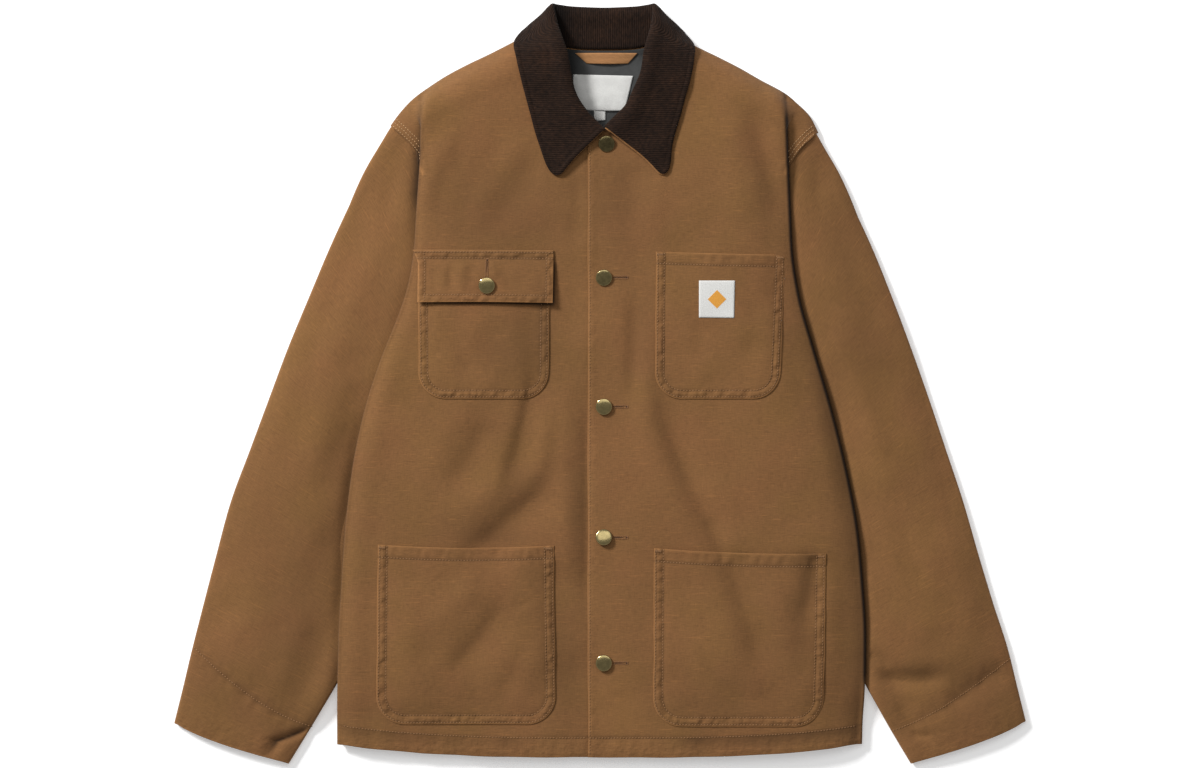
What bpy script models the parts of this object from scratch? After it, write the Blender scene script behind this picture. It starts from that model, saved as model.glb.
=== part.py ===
"""Chore jacket, laid flat and face up.

World frame: the ground is z = 0, +Y runs from the hem to the neck and +X to the wearer's left.
Sizes below are in millimetres; `sheet` and `button` turn them into metres.
Every cloth piece is an open surface of its middle layer, thickened by a Solidify modifier.
"""

import math

import bmesh
import bpy
import numpy as np
from mathutils import Vector
from mathutils.bvhtree import BVHTree

MM = 0.001
COLLECTION = "chore_jacket"

# Cloth
CANVAS = 1.6
SLEEVE_CLOTH = 1.4
COLLAR_CLOTH = 1.2
COLLAR_LAYER_GAP = 0.9
POCKET_CLOTH = 1.2
LABEL_CLOTH = 1.0
GAP = 0.3

# Body
HEM_Y = -381.0
HEM_CORNER_RISE = 13.0
BODY_HALF = 268.0
PLACKET_X = -12.3
UNDERLAP_X = 28.0
UNDERLAP_DROP = CANVAS + 2 * GAP
NECK_OUT = 74.0
NECK_RISE = 16.0
CENTRE_X = 4.0
BACK_NECK_Y = 341.0
SHOULDER_DROP = 26.0
ARMPIT_Y = 36.0

# Heights of middle layers above the ground
BACK_Z = CANVAS / 2
BACK_CREASE_RADIUS = 1.6
BACK_RETURN_Z = BACK_Z + 2 * BACK_CREASE_RADIUS
SLEEVE_LOW_Z = BACK_RETURN_Z + CANVAS / 2 + 1.5 * GAP + SLEEVE_CLOTH / 2
SLEEVE_GAP = 6.2
SLEEVE_HIGH_Z = SLEEVE_LOW_Z + SLEEVE_GAP
FRONT_CREASE_RADIUS = 3.4
SEAM_RUN = 12.0
COLLAR_STACK = 2 * COLLAR_CLOTH + COLLAR_LAYER_GAP
SHOULDER_SEAM_Z = 4.3
SHOULDER_LIFT = 1.2

# How the sections are cut into points
TAIL_POINTS = 11
TAIL_SHARES = np.arange(1, TAIL_POINTS + 1) / TAIL_POINTS
TAIL_RUN = 14.0
FRONT_LEVELS = (
    -381, -360, -330, -300, -270, -225, -158, -90, -40, 5, 36, 65, 100, 140, 180, 205, 218, 234,
)
TOP_ROWS = (14.0, 6.0, 0.0)
ROW_TOP = 27.0

# The crease opens into a step between these heights up the side, front and back.
OPENING_Y = (205.0, 232.0)
BACK_OPENING_Y = (148.0, 188.0)
SLEEVE_LANDING_Y = (196.0, 224.0)
STEP_DROP = 2.9
STEP_RADIUS = 2.0
BACK_INSET = 3.0
ARMHOLE_EASE = 1.5
ARMHOLE_DIP = 1.9
ARMHOLE_DIP_Y = (190.0, 212.0)

# Side of the body, row by row from the hem up.
# crease_*: distance from x = 0 to the crease where the front folds under, right and left side.
# tuck: how far the folded-under part runs back to the side seam.
# under: height of the folded-under part of the front.
SIDE_COLUMNS = ("y", "crease_right", "crease_left", "tuck", "under")
SIDE_ROWS = (
    (-385, 268, 267, 8, 5.9),
    (-340, 268, 268, 9, 6.6),
    (-300, 267, 270, 15, 14.2),
    (-255, 266, 270, 29, 14.4),
    (-203, 263, 267, 46, 14.4),
    (-158, 260, 263, 62, 14.4),
    (-115, 256, 256, 75, 14.4),
    (-40, 243, 239, 88, 14.4),
    (36, 219, 217, 86, 14.4),
    (90, 198, 202, 62, 14.4),
    (139, 189, 195, 40, 14.4),
    (190, 186, 193, 20, 14.4),
    (237, 183, 191, 6, 14.4),
    (300, 182, 189, 4, 14.4),
)

# Shoulder line from the neck point to the top of the sleeve seam, and the armhole from there down.
SHOULDER_COLUMNS = ("x", "y_right", "y_left")
SHOULDER_ROWS = (
    (50, 368, 369),
    (87, 350, 350),
    (119, 334, 335),
    (148, 320, 320),
    (172, 305, 306),
    (189, 293, 297),
    (202, 280, 286),
    (214, 264, 274),
    (223, 250, 257),
)
ARMHOLE_COLUMNS = ("y_right", "x_right", "y_left", "x_left")
ARMHOLE_ROWS = (
    (36, 135, 36, 135),
    (60, 140, 60, 143),
    (100, 150, 100, 154),
    (160, 164, 160, 170),
    (205, 175, 200, 184),
    (222, 180, 222, 194),
    (232, 184, 233, 200),
    (244, 193, 244, 209),
    (253, 202, 251, 216),
    (264, 214, 257, 223),
)
SHOULDER_TIP = {"right": (214, 264), "left": (223, 257)}

# Neck edge of the fronts, from the neck point to the front edge (distances from the collar's centre).
NECK_COLUMNS = ("out", "y")
NECK_ROWS = (
    (-32, 254), (-16, 256), (6, 260), (22, 266), (38, 277), (50, 294), (58, 318), (66, 345), (74, 357),
)

# Height of the front's middle layer along its length, and how much the middle stands over the crease.
LOFT_COLUMNS = ("y", "middle")
LOFT_ROWS = (
    (-385, 12.6), (-340, 15.0), (-280, 20.0), (-160, 22.4), (0, 23.4), (140, 23.4), (230, 21.6), (365, 18.0),
)

# Sleeve stations from the armhole to the cuff, as distances from x = 0, for both sides.
SLEEVE_COLUMNS = ("out_x", "out_y", "in_x", "in_y", "rise", "bow")
SLEEVE_ROWS = {
    "right": (
        (216.5, 262, 148, 38, 0, 1.0),
        (228, 240, 150, 28, 2, 0.8),
        (245, 207, 156, 4, 6, 0.35),
        (270, 152, 163, -22, 9, 0.0),
        (298, 86, 172, -54, 10, 0.0),
        (319, 35, 184, -88, 10, 0.0),
        (338, -16, 197, -121, 10, 0.0),
        (357, -67, 213, -160, 9, 0.0),
        (376, -118, 230, -203, 9, 0.0),
        (393, -180, 249, -255, 8, 0.0),
        (405, -226, 266, -300, 7, 0.0),
        (416, -269, 283, -330, 6, 0.0),
        (427, -315, 303, -362, 5, 0.0),
        (435, -347, 319, -388, 4, 0.0),
    ),
    "left": (
        (226.6, 253.6, 148, 38, 0, 1.0),
        (236, 233, 150, 28, 2, 0.8),
        (248, 206, 156, 4, 6, 0.35),
        (272, 152, 163, -22, 9, 0.0),
        (299, 86, 172, -54, 10, 0.0),
        (318, 35, 184, -88, 10, 0.0),
        (336, -16, 197, -121, 10, 0.0),
        (353, -67, 213, -160, 9, 0.0),
        (370, -118, 230, -203, 9, 0.0),
        (388, -180, 249, -255, 8, 0.0),
        (402, -226, 268, -300, 7, 0.0),
        (416, -269, 284, -330, 6, 0.0),
        (427, -313, 303, -362, 5, 0.0),
        (435, -345, 318.6, -388, 4, 0.0),
    ),
}
SLEEVE_EDGE_RADIUS = 3.3
SLEEVE_RISE_RUN = (14.0, 40.0)
SLEEVE_DROP_RUN = (20.0, 40.0)
SLEEVE_SPANS = 8
SLEEVE_SPREAD = 1.4
SEAM_EDGE_GAP = 0.5
SHOULDER_EDGE_GAP = 2.6
SHOULDER_GAP_Y = (240.0, 262.0)
UNDERARM_SHARE = 0.14

# Collar stations from the right front tip round the back to the left front tip.
# n: neck seam, r: roll, o: outer edge; facing: 90 where the fall lies on top of the stand,
# -90 where it lies below; *_z: height of the middle of the two layers, or over the front if "over" is 1.
COLLAR_COLUMNS = ("n_x", "n_y", "r_x", "r_y", "o_x", "o_y", "facing", "n_z", "r_z", "o_z", "over")
COLLAR_ROWS = (
    (-2, 258, 3, 257, -43.5, 213.5, 90, 0.5, 2.6, 0.5, 1),
    (-21, 264, -8, 268, -51, 221, 90, 0.5, 2.8, 0.5, 1),
    (-38, 275, -19, 280, -62, 245, 90, 0.5, 3.0, 0.5, 1),
    (-50, 291, -29, 299, -72, 280, 90, 0.5, 3.0, 0.6, 1),
    (-58, 314, -33, 319, -80, 310, 90, 0.5, 3.0, 1.2, 1),
    (-65, 338, -37.5, 344, -86, 336, 90, 1.0, 3.2, 1.5, 1),
    (-62, 352, -41, 367, -89, 350, 60, 16.0, 18.0, 11.5, 0),
    (-53, 355, -44, 384, -79, 362, 10, 9.0, 11.0, 4.5, 0),
    (-44, 350, -40, 385, -66, 352, -60, 6.5, 6.5, 1.8, 0),
    (-32, 344.4, -28, 383, -44, 326, -85, 5.6, 4.0, 1.85, 0),
    (-14, 342.6, -13, 382, -18, 314, -90, 5.3, 3.8, 1.82, 0),
    (4, 342.4, 4, 381.5, 4, 312, -90, 5.3, 3.8, 1.82, 0),
    (22, 342.6, 21, 382, 26, 314, -90, 5.3, 3.8, 1.82, 0),
    (40, 344.4, 36, 383, 52, 326, -85, 5.6, 4.0, 1.85, 0),
    (52, 350, 47, 385, 74, 352, -60, 6.5, 6.5, 1.8, 0),
    (61, 355, 51, 384, 86, 361, 10, 9.0, 11.0, 4.5, 0),
    (70, 352, 50, 367, 96.5, 347, 60, 16.0, 18.0, 11.5, 0),
    (73, 338, 48, 344, 96, 334, 90, 1.0, 3.2, 1.5, 1),
    (66, 314, 45, 319, 93, 310, 90, 0.5, 3.0, 1.2, 1),
    (58, 291, 37, 299, 86, 280, 90, 0.5, 3.0, 0.6, 1),
    (46, 275, 28, 281, 76, 245, 90, 0.5, 3.0, 0.5, 1),
    (29, 264, 18, 271, 71, 222, 90, 0.5, 2.8, 0.5, 1),
    (10, 258, 7, 260, 67, 214.7, 90, 0.5, 2.6, 0.5, 1),
)
COLLAR_ROLL_RADIUS = 2.1
COLLAR_TURN = (4, 10)
FALL_OUT = 84.0
NECK_LIFT = COLLAR_STACK + 1.5 * GAP
FALL_LOW_Y = 312.0

# Lining and hanger loop
LINING_HALF = 64.0
LINING_LOW_Y = 236.0
LOOP_X = (-22.0, 33.0)
LOOP_Y = 338.0
LOOP_SAG = 3.0
LOOP_WIDTH = 8.0
LOOP_LOFT = 2.0

# Pockets and patches: left x, right x, top y, bottom y, corner radius, cloth.
PLATE_COLUMNS = ("x_low", "x_high", "top", "bottom", "corner", "cloth")
PLATES = {
    "chest_pocket_right": (-184, -52, 122, -15, 26, POCKET_CLOTH),
    "chest_pocket_left": (56, 186, 134, -15, 26, POCKET_CLOTH),
    "hip_pocket_right": (-227, -45, -165, -347, 28, POCKET_CLOTH),
    "hip_pocket_left": (54, 228, -170, -349, 28, POCKET_CLOTH),
    "pocket_patch": (100, 137, 105, 67, 1, LABEL_CLOTH),
    "chest_flap_right": (-186, -48, 137, 83, 3, POCKET_CLOTH),
    "neck_label": (-28, 34, 316, 280, 5, LABEL_CLOTH),
    "size_tab": (-5, 5, 279.2, 271, 1, LABEL_CLOTH),
}
PLATE_ROWS, PLATE_SPANS = 6, 6

# Brass shank buttons
BUTTON_RADIUS = 8.5
BUTTON_HEIGHT = 3.2
BUTTON_STEPS = 20
BUTTON_PLACES = ((6.6, 244.7), (4.0, 108.3), (4.0, -23.1), (4.0, -156.1), (4.0, -284.1))
FLAP_BUTTON_PLACE = (-115.0, 100.0)

COLOURS = {
    "canvas": ((0.216, 0.107, 0.040, 1), 0.9, 0.0),
    "corduroy": ((0.018, 0.010, 0.007, 1), 0.95, 0.0),
    "lining": ((0.046, 0.051, 0.051, 1), 0.85, 0.0),
    "label": ((0.75, 0.75, 0.72, 1), 0.8, 0.0),
    "brass": ((0.19, 0.15, 0.06, 1), 0.45, 0.9),
}


def columns(rows, names, *wanted):
    """Picks columns of a table by name."""
    table = np.array(rows, float)
    picked = [table[:, names.index(name)] for name in wanted]
    return picked[0] if len(picked) == 1 else picked


def eased(xs, ys):
    """A smooth curve through the points: cubic pieces whose slopes never overshoot."""
    xs, ys = np.asarray(xs, float), np.asarray(ys, float)
    steps = np.diff(ys) / np.diff(xs)
    slopes = np.zeros_like(ys)
    slopes[0], slopes[-1] = steps[0], steps[-1]
    same_way = steps[:-1] * steps[1:] > 0
    totals = np.where(same_way, steps[:-1] + steps[1:], 1)
    slopes[1:-1] = np.where(same_way, 2 * steps[:-1] * steps[1:] / totals, 0)

    def at(x):
        x = float(np.clip(x, xs[0], xs[-1]))
        i = int(np.clip(np.searchsorted(xs, x) - 1, 0, len(xs) - 2))
        h = xs[i + 1] - xs[i]
        t = (x - xs[i]) / h
        low = ys[i] * (1 + 2 * t) * (1 - t) ** 2 + h * slopes[i] * t * (1 - t) ** 2
        high = ys[i + 1] * t * t * (3 - 2 * t) - h * slopes[i + 1] * t * t * (1 - t)
        return float(low + high)

    return at


def step(x, start, end):
    """0 before start and 1 past end, smooth between."""
    t = min(1.0, max(0.0, (x - start) / (end - start)))
    return t * t * (3 - 2 * t)


SIGN = {"right": -1, "left": 1}
SIDE_Y = columns(SIDE_ROWS, SIDE_COLUMNS, "y")
CREASE = {
    side: eased(SIDE_Y, columns(SIDE_ROWS, SIDE_COLUMNS, "crease_" + side)) for side in SIGN
}
TUCK = eased(SIDE_Y, columns(SIDE_ROWS, SIDE_COLUMNS, "tuck"))
UNDER_Z = eased(SIDE_Y, columns(SIDE_ROWS, SIDE_COLUMNS, "under"))
ARMHOLE = {
    side: eased(*columns(ARMHOLE_ROWS, ARMHOLE_COLUMNS, "y_" + side, "x_" + side)) for side in SIGN
}
SHOULDER = {
    side: eased(*columns(SHOULDER_ROWS, SHOULDER_COLUMNS, "x", "y_" + side)) for side in SIGN
}
MIDDLE_Z = eased(*columns(LOFT_ROWS, LOFT_COLUMNS, "y", "middle"))
NECK_EDGE = eased(*columns(NECK_ROWS, NECK_COLUMNS, "out", "y"))


def material(name):
    made = bpy.data.materials.get(name)
    if made is None:
        colour, roughness, metallic = COLOURS[name]
        made = bpy.data.materials.new(name)
        made.use_nodes = True
        shader = made.node_tree.nodes["Principled BSDF"]
        shader.inputs["Base Color"].default_value = colour
        shader.inputs["Roughness"].default_value = roughness
        shader.inputs["Metallic"].default_value = metallic
    return made


def sheet(name, grid, thickness, cloth, closed=False):
    """One cloth piece: a grid of middle-layer points, rows x columns, thickened to both sides."""
    grid = np.asarray(grid, float)
    rows, across = grid.shape[:2]
    mesh = bpy.data.meshes.new(name)
    bm = bmesh.new()
    points = [[bm.verts.new(Vector(p) * MM) for p in row] for row in grid.tolist()]
    for i in range(rows - 1):
        for j in range(across if closed else across - 1):
            k = (j + 1) % across
            bm.faces.new((points[i][j], points[i][k], points[i + 1][k]))
            bm.faces.new((points[i][j], points[i + 1][k], points[i + 1][j]))
    bm.to_mesh(mesh)
    bm.free()
    mesh.shade_smooth()
    piece = bpy.data.objects.new(name, mesh)
    bpy.data.collections[COLLECTION].objects.link(piece)
    piece.data.materials.append(material(cloth))
    wall = piece.modifiers.new("wall", "SOLIDIFY")
    wall.thickness = thickness * MM
    wall.offset = 0.0
    return piece


def drape(supports, reach):
    """The height of the highest support within reach of a point, in millimetres."""
    bpy.context.view_layer.update()
    graph = bpy.context.evaluated_depsgraph_get()
    trees = [BVHTree.FromObject(piece, graph) for piece in supports]
    around = [(dx * reach, dy * reach) for dx in (-1, 0, 1) for dy in (-1, 0, 1)]

    def at(x, y):
        best = 0.0
        for tree in trees:
            for dx, dy in around:
                hit = tree.ray_cast(Vector(((x + dx) * MM, (y + dy) * MM, 1.0)), Vector((0, 0, -1)))[0]
                if hit is not None:
                    best = max(best, hit.z / MM)
        return best

    return at


def back_seam_z(y):
    """Height of the back's edge at the side seam, under the front's edge."""
    return BACK_RETURN_Z + (UNDER_Z(y) - CANVAS - GAP - BACK_RETURN_Z) * 0.45


def hem_y(x):
    """The hem's edge rises a little towards the side seams."""
    return HEM_Y + HEM_CORNER_RISE * min(1.0, abs(x) / BODY_HALF) ** 3


def out_of_centre(x):
    """Distance from the collar's centre line."""
    return abs(x - CENTRE_X)


def front_top_y(side, x):
    """The front's upper edge at x: the neck edge, then the shoulder line."""
    out = (x - CENTRE_X) * SIGN[side]
    if out < NECK_OUT:
        return NECK_EDGE(out)
    return SHOULDER[side](x * SIGN[side])


def back_top_y(x):
    """The back's upper edge at x: the back neck seam, then the shoulder line."""
    out = out_of_centre(x)
    side = "left" if x > CENTRE_X else "right"
    if out < NECK_OUT:
        return BACK_NECK_Y + NECK_RISE * (out / NECK_OUT) ** 3
    return SHOULDER[side](abs(x))


def neck_lift(x):
    """How far the back and the shoulder seams are raised over the collar's fall."""
    return NECK_LIFT * (1 - step(out_of_centre(x), FALL_OUT, FALL_OUT + 22))


def front_z(side, x, y):
    """Height of the front's middle layer on its upper face."""
    crown = UNDER_Z(y) + 2 * FRONT_CREASE_RADIUS
    middle = MIDDLE_Z(y)
    out = min(1.0, abs(x) / CREASE[side](y))
    height = crown + (middle - crown) * (1 - out**4)
    if side == "right":
        height -= UNDERLAP_DROP * step(x, PLACKET_X - 34, PLACKET_X - 10)
    if (x - CENTRE_X) * SIGN[side] > NECK_OUT - 20:
        height = towards_shoulder(side, x, y, height)
    return height


def towards_shoulder(side, x, y, height):
    """Lets a height fall to the shoulder seam over the last stretch below it."""
    below = max(0.0, SHOULDER[side](x * SIGN[side]) - y)
    seam = SHOULDER_SEAM_Z + neck_lift(x)
    return seam + (height - seam) * math.sin(math.pi / 2 * min(1.0, below / SHOULDER_DROP))


def turned_path(x, z, turns):
    """Section points from (x, z), heading outwards.

    turns: (radius, degrees, count) for an arc, downwards positive, or (length, None, count) straight on.
    """
    heading = 0.0
    points = []
    for size, degrees, count in turns:
        for _ in range(count):
            if degrees is None:
                x += size / count * math.cos(heading)
                z -= size / count * math.sin(heading)
            else:
                piece = math.radians(degrees) / count
                chord = 2 * size * math.sin(abs(piece) / 2)
                heading += piece / 2
                x += chord * math.cos(heading)
                z -= chord * math.sin(heading)
                heading += piece / 2
            points.append((x, z))
    return np.array(points)


def side_end(side, y):
    """Where the sections end: the side seam below the armpit, the armhole seam above it."""
    below = CREASE[side](y) - TUCK(y)
    return ARMHOLE[side](max(y, ARMPIT_Y)) if y > ARMPIT_Y else below


def return_path(side, y, start, z, height_end):
    """A crease of half a turn and the straight part behind it, which bends to the seam's height."""
    path = turned_path(start, z, ((FRONT_CREASE_RADIUS, 180.0, 4),))
    count = TAIL_POINTS - 4
    back = max(1.0, start - side_end(side, y))
    level = path[-1, 1]
    runs = back * np.arange(1, count + 1) / count
    bend = np.array([step(run, back - SEAM_RUN, back) for run in runs])
    straight = np.column_stack((start - runs, level + (height_end - level) * bend))
    return np.vstack((path, straight))


def front_tail(side, y):
    """The front's section past its crease, as (distance from x = 0, height)."""
    under = UNDER_Z(y)
    crown = under + 2 * FRONT_CREASE_RADIUS
    start = CREASE[side](y) - FRONT_CREASE_RADIUS
    seam = under + (back_seam_z(y) + CANVAS + GAP - under) * (1 - step(y, ARMPIT_Y - 26, ARMPIT_Y + 4))
    folded = return_path(side, y, start, crown, seam)
    end = ARMHOLE[side](y)
    stepped = turned_path(
        start,
        crown,
        ((FRONT_CREASE_RADIUS, 100.0, 4), (STEP_DROP, None, 1), (STEP_RADIUS, -100.0, 3)),
    )
    last_x, last_z = stepped[-1]
    run = max(1.0, end - last_x)
    stepped = np.vstack((stepped, [(last_x + run * k / 3, last_z) for k in (1, 2, 3)]))
    open_now = step(y, *OPENING_Y)
    section = folded + (stepped - folded) * open_now
    flat_x = start + (max(end, start + 4) - start) * TAIL_SHARES
    signed = SIGN[side]
    below = np.array([SHOULDER[side](x) - y for x in flat_x])
    flat_z = [towards_shoulder(side, x * signed, y, last_z) for x in flat_x]
    kept = np.array([step(b, 1.0, 26.0) for b in below])[:, None]
    return np.column_stack((flat_x, flat_z)) * (1 - kept) + section * kept


def front_point_rows(side):
    """The grid of a front's middle layer."""
    signed = SIGN[side]
    first_out = {"right": -UNDERLAP_X, "left": PLACKET_X}[side]
    reach = CREASE[side](300) - FRONT_CREASE_RADIUS
    neck_share = (NECK_OUT + CENTRE_X * signed - first_out) / (reach - first_out)
    across = np.concatenate((np.linspace(0, neck_share, 5), np.linspace(neck_share, 1, 6)[1:]))
    tip = SHOULDER_TIP[side][0]
    tops = [front_top_y(side, signed * (first_out + share * (reach - first_out))) for share in across]
    tops += [SHOULDER[side](reach + (tip - reach) * share) for share in TAIL_SHARES]
    rows = []
    for level, below in row_levels():
        row = []
        for k, top in enumerate(tops):
            hem = hem_y(0 if k < 2 else BODY_HALF * min(1.0, k / (len(across) - 1)))
            y = top - below if level is None else hem + (top - ROW_TOP - hem) * level
            start = CREASE[side](y) - FRONT_CREASE_RADIUS
            if k < len(across):
                x = first_out + across[k] * (start - first_out)
                row.append((signed * x, y, front_z(side, signed * x, y)))
            else:
                x, z = front_tail(side, y)[k - len(across)]
                row.append((signed * x, y, z))
        rows.append(row)
    return rows


def row_levels():
    """Rows from the hem up: shares of the stretch below the shoulder, then distances below the top."""
    stretch = FRONT_LEVELS[-1] - FRONT_LEVELS[0]
    levels = [((y - FRONT_LEVELS[0]) / stretch, None) for y in FRONT_LEVELS]
    return levels + [(None, below) for below in TOP_ROWS]


def back_z(x, y):
    """Height of the back's middle layer: flat on the ground, raised at the neck and the shoulders."""
    side = "left" if x > CENTRE_X else "right"
    lift = neck_lift(x) * step(y, FALL_LOW_Y - 52, FALL_LOW_Y - 18)
    below = SHOULDER[side](abs(x)) - y if out_of_centre(x) > NECK_OUT else 99.0
    return BACK_Z + lift + SHOULDER_LIFT * (1 - step(below, 0, 12))


def back_tail(side, y):
    """Where the back's crease starts, and its section past it, as (distance from x = 0, height)."""
    start = CREASE[side](y) - BACK_INSET - BACK_CREASE_RADIUS
    seam = BACK_RETURN_Z + (back_seam_z(y) - BACK_RETURN_Z) * (1 - step(y, ARMPIT_Y - 26, ARMPIT_Y + 4))
    folded = turned_path(start, -BACK_Z, ((BACK_CREASE_RADIUS, 180.0, 4),)) * (1, -1)
    back = max(1.0, start - side_end(side, y))
    runs = back * np.arange(1, TAIL_POINTS - 3) / (TAIL_POINTS - 4)
    bend = np.array([step(run, back - SEAM_RUN, back) for run in runs])
    straight = np.column_stack((start - runs, BACK_RETURN_Z + (seam - BACK_RETURN_Z) * bend))
    folded = np.vstack((folded, straight))
    open_now = step(y, *BACK_OPENING_Y)
    first = start + (min(start, ARMHOLE[side](y) - TAIL_RUN) - start) * open_now
    flat_x = first + (ARMHOLE[side](y) - ARMHOLE_EASE - first) * TAIL_SHARES
    flat = np.column_stack((flat_x, [back_z(SIGN[side] * x, y) for x in flat_x]))
    return first, folded + (flat - folded) * open_now


def back_point_rows():
    """The grid of the back's middle layer, from the right side seam to the left."""
    across = np.linspace(0, 1, 6)
    rows = []
    for level, below in row_levels():
        row = []
        for side in ("right", "left"):
            signed = SIGN[side]
            reach = SHOULDER_TIP[side][0] - ARMHOLE_EASE - TAIL_RUN
            spots = [reach * share for share in across] + [reach + TAIL_RUN * share for share in TAIL_SHARES]
            half = []
            for k, spot in enumerate(spots):
                top = back_top_y(signed * spot)
                hem = hem_y(BODY_HALF * min(1.0, k / 5))
                y = top - below if level is None else hem + (top - ROW_TOP - hem) * level
                first, section = back_tail(side, y)
                if k < len(across):
                    x = first * across[k]
                    half.append((signed * x, y, back_z(signed * x, y)))
                else:
                    x, z = section[k - len(across)]
                    half.append((signed * x, y, z))
            row += half[::-1] if side == "right" else half[1:]
        rows.append(row)
    return rows


def armhole_shift(side, c):
    """How far the armhole seam lies beside the straight line of the first sleeve station."""
    out_x, out_y, in_x, in_y = SLEEVE_ROWS[side][0][:4]
    x, y = in_x + (out_x - in_x) * c, in_y + (out_y - in_y) * c
    gap = SEAM_EDGE_GAP + SHOULDER_EDGE_GAP * step(y, *SHOULDER_GAP_Y)
    return (front_tail(side, y)[-1, 0] + gap - x) * step(c, 0.0, UNDERARM_SHARE)


def sleeve_rings(side):
    """Closed rings of a sleeve's middle layer, from the armhole to the cuff."""
    signed = SIGN[side]
    rings = []
    for out_x, out_y, in_x, in_y, rise, bow in SLEEVE_ROWS[side]:
        inner, outer = np.array((in_x, in_y), float), np.array((out_x, out_y), float)
        width = float(np.linalg.norm(outer - inner))
        along = (outer - inner) / width
        edge = SLEEVE_EDGE_RADIUS / width
        top, low = [], []
        for share in np.linspace(0, 1, SLEEVE_SPANS + 1):
            c = edge + (1 - 2 * edge) * (1 - (1 - share) ** SLEEVE_SPREAD)
            x, y = inner + along * width * c
            x += armhole_shift(side, c) * bow
            top.append((x, y, sleeve_top_z(side, x, y, rise * (1 - abs(2 * c - 1) ** 3))))
            low.append((x, y, sleeve_low_z(side, x, y)))
        ring = list(top)
        ring += sleeve_edge(top[-1], low[-1], along)
        ring += low[::-1]
        ring += sleeve_edge(low[0], top[0], -along)
        rings.append([(signed * x, y, z) for x, y, z in ring])
    return rings


def sleeve_edge(start, end, outwards):
    """Three points round a sleeve's folded edge."""
    start, end = np.array(start), np.array(end)
    middle, radius = (start + end) / 2, abs(start[2] - end[2]) / 2
    up = (start - end) / 2
    way = np.array((*outwards, 0.0)) * radius
    return [tuple(middle + up * math.cos(a) + way * math.sin(a)) for a in np.radians((45, 90, 135))]


def sleeve_top_z(side, x, y, rise):
    """Upper middle layer of a sleeve: held down between the body's folds, lofted outside them."""
    held = SLEEVE_HIGH_Z - ARMHOLE_DIP * step(y, *ARMHOLE_DIP_Y)
    free = SLEEVE_CLOTH / 2 + SLEEVE_GAP + rise
    return held + (free - held) * step(x - CREASE[side](y), *SLEEVE_RISE_RUN)


def sleeve_low_z(side, x, y):
    """Lower middle layer of a sleeve: on the back's fold, then down to the ground."""
    held = SLEEVE_LOW_Z + (SLEEVE_CLOTH / 2 - SLEEVE_LOW_Z) * step(y, *SLEEVE_LANDING_Y)
    return held + (SLEEVE_CLOTH / 2 - held) * step(x - CREASE[side](y), *SLEEVE_DROP_RUN)


def collar_frame(over):
    """Collar sections as (neck seam, roll centre, outer edge, direction from stand to fall, way out)."""
    sections = []
    for row in COLLAR_ROWS:
        at = dict(zip(COLLAR_COLUMNS, row))
        n, r, o = (np.array((at[k + "_x"], at[k + "_y"], 0.0)) for k in "nro")
        if at["over"]:
            n[2] = over(*n[:2]) + at["n_z"] + COLLAR_STACK / 2
            o[2] = over(*o[:2]) + at["o_z"] + COLLAR_STACK / 2
            r[2] = n[2] + at["r_z"]
        else:
            n[2], r[2], o[2] = at["n_z"], at["r_z"], at["o_z"]
        back = (n + o) / 2 - r
        back[2] = 0
        way_out = -back / np.linalg.norm(back)
        side_on = o - n
        side_on[2] = 0
        side_on /= max(1.0, np.linalg.norm(side_on))
        facing = math.radians(at["facing"])
        turn = side_on * math.cos(facing) + np.array((0, 0, 1.0)) * math.sin(facing)
        sections.append((n, r, o, turn, way_out))
    return refined(np.array(sections))


def refined(sections):
    """The sections with one more between each two round the shoulders, on a smooth curve through them."""
    made = []
    for i in range(len(sections) - 1):
        made.append(sections[i])
        if COLLAR_TURN[0] <= min(i, len(sections) - 2 - i) < COLLAR_TURN[1]:
            near, far = sections[i] + sections[i + 1], sections[i - 1] + sections[i + 2]
            made.append((9 * near - far) / 16)
    made.append(sections[-1])
    made = np.array(made)
    for k in (3, 4):
        made[:, k] /= np.linalg.norm(made[:, k], axis=1)[:, None]
    return made


def collar_rows(over, offset):
    """The grid of one collar layer, moved by offset from the middle of the two, face side positive."""
    rows = []
    for n, r, o, turn, way_out in collar_frame(over):
        radius = COLLAR_ROLL_RADIUS
        bend = [
            r + radius * (turn * math.sin(a) + way_out * math.cos(a)) for a in np.radians((-90, -30, 30, 90))
        ]
        path = [n, n + (bend[0] - n) * 0.5] + bend
        path += [bend[-1] + (o - bend[-1]) * share for share in (0.33, 0.67, 1.0)]
        rows.append(path)
    grid = np.array(rows)
    along = np.gradient(grid, axis=0)
    across = np.gradient(grid, axis=1)
    normal = np.cross(along, across)
    normal /= np.linalg.norm(normal, axis=2)[:, :, None]
    return grid + normal * offset


def plate(name, supports, cloth_name, reach=15.0):
    """A flat piece with rounded lower corners that lies on its supports."""
    at = dict(zip(PLATE_COLUMNS, PLATES[name]))
    height = drape(supports, reach)
    middle, half = (at["x_low"] + at["x_high"]) / 2, (at["x_high"] - at["x_low"]) / 2
    corner = at["corner"]
    bends = corner * (1 - np.cos(np.radians((0, 30, 60, 90))))
    straight = np.linspace(at["bottom"] + corner, at["top"], PLATE_ROWS)[1:]
    ys = np.concatenate((at["bottom"] + bends * 0.999, straight))
    rows = []
    for y in ys:
        up = min(corner, y - at["bottom"])
        width = half - corner + math.sqrt(max(0.0, corner**2 - (corner - up) ** 2))
        xs = middle + width * np.linspace(-1, 1, PLATE_SPANS + 1)
        rows.append([(x, y, height(x, y) + GAP + at["cloth"] / 2) for x in xs])
    return sheet(name, rows, at["cloth"], cloth_name)


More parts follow.
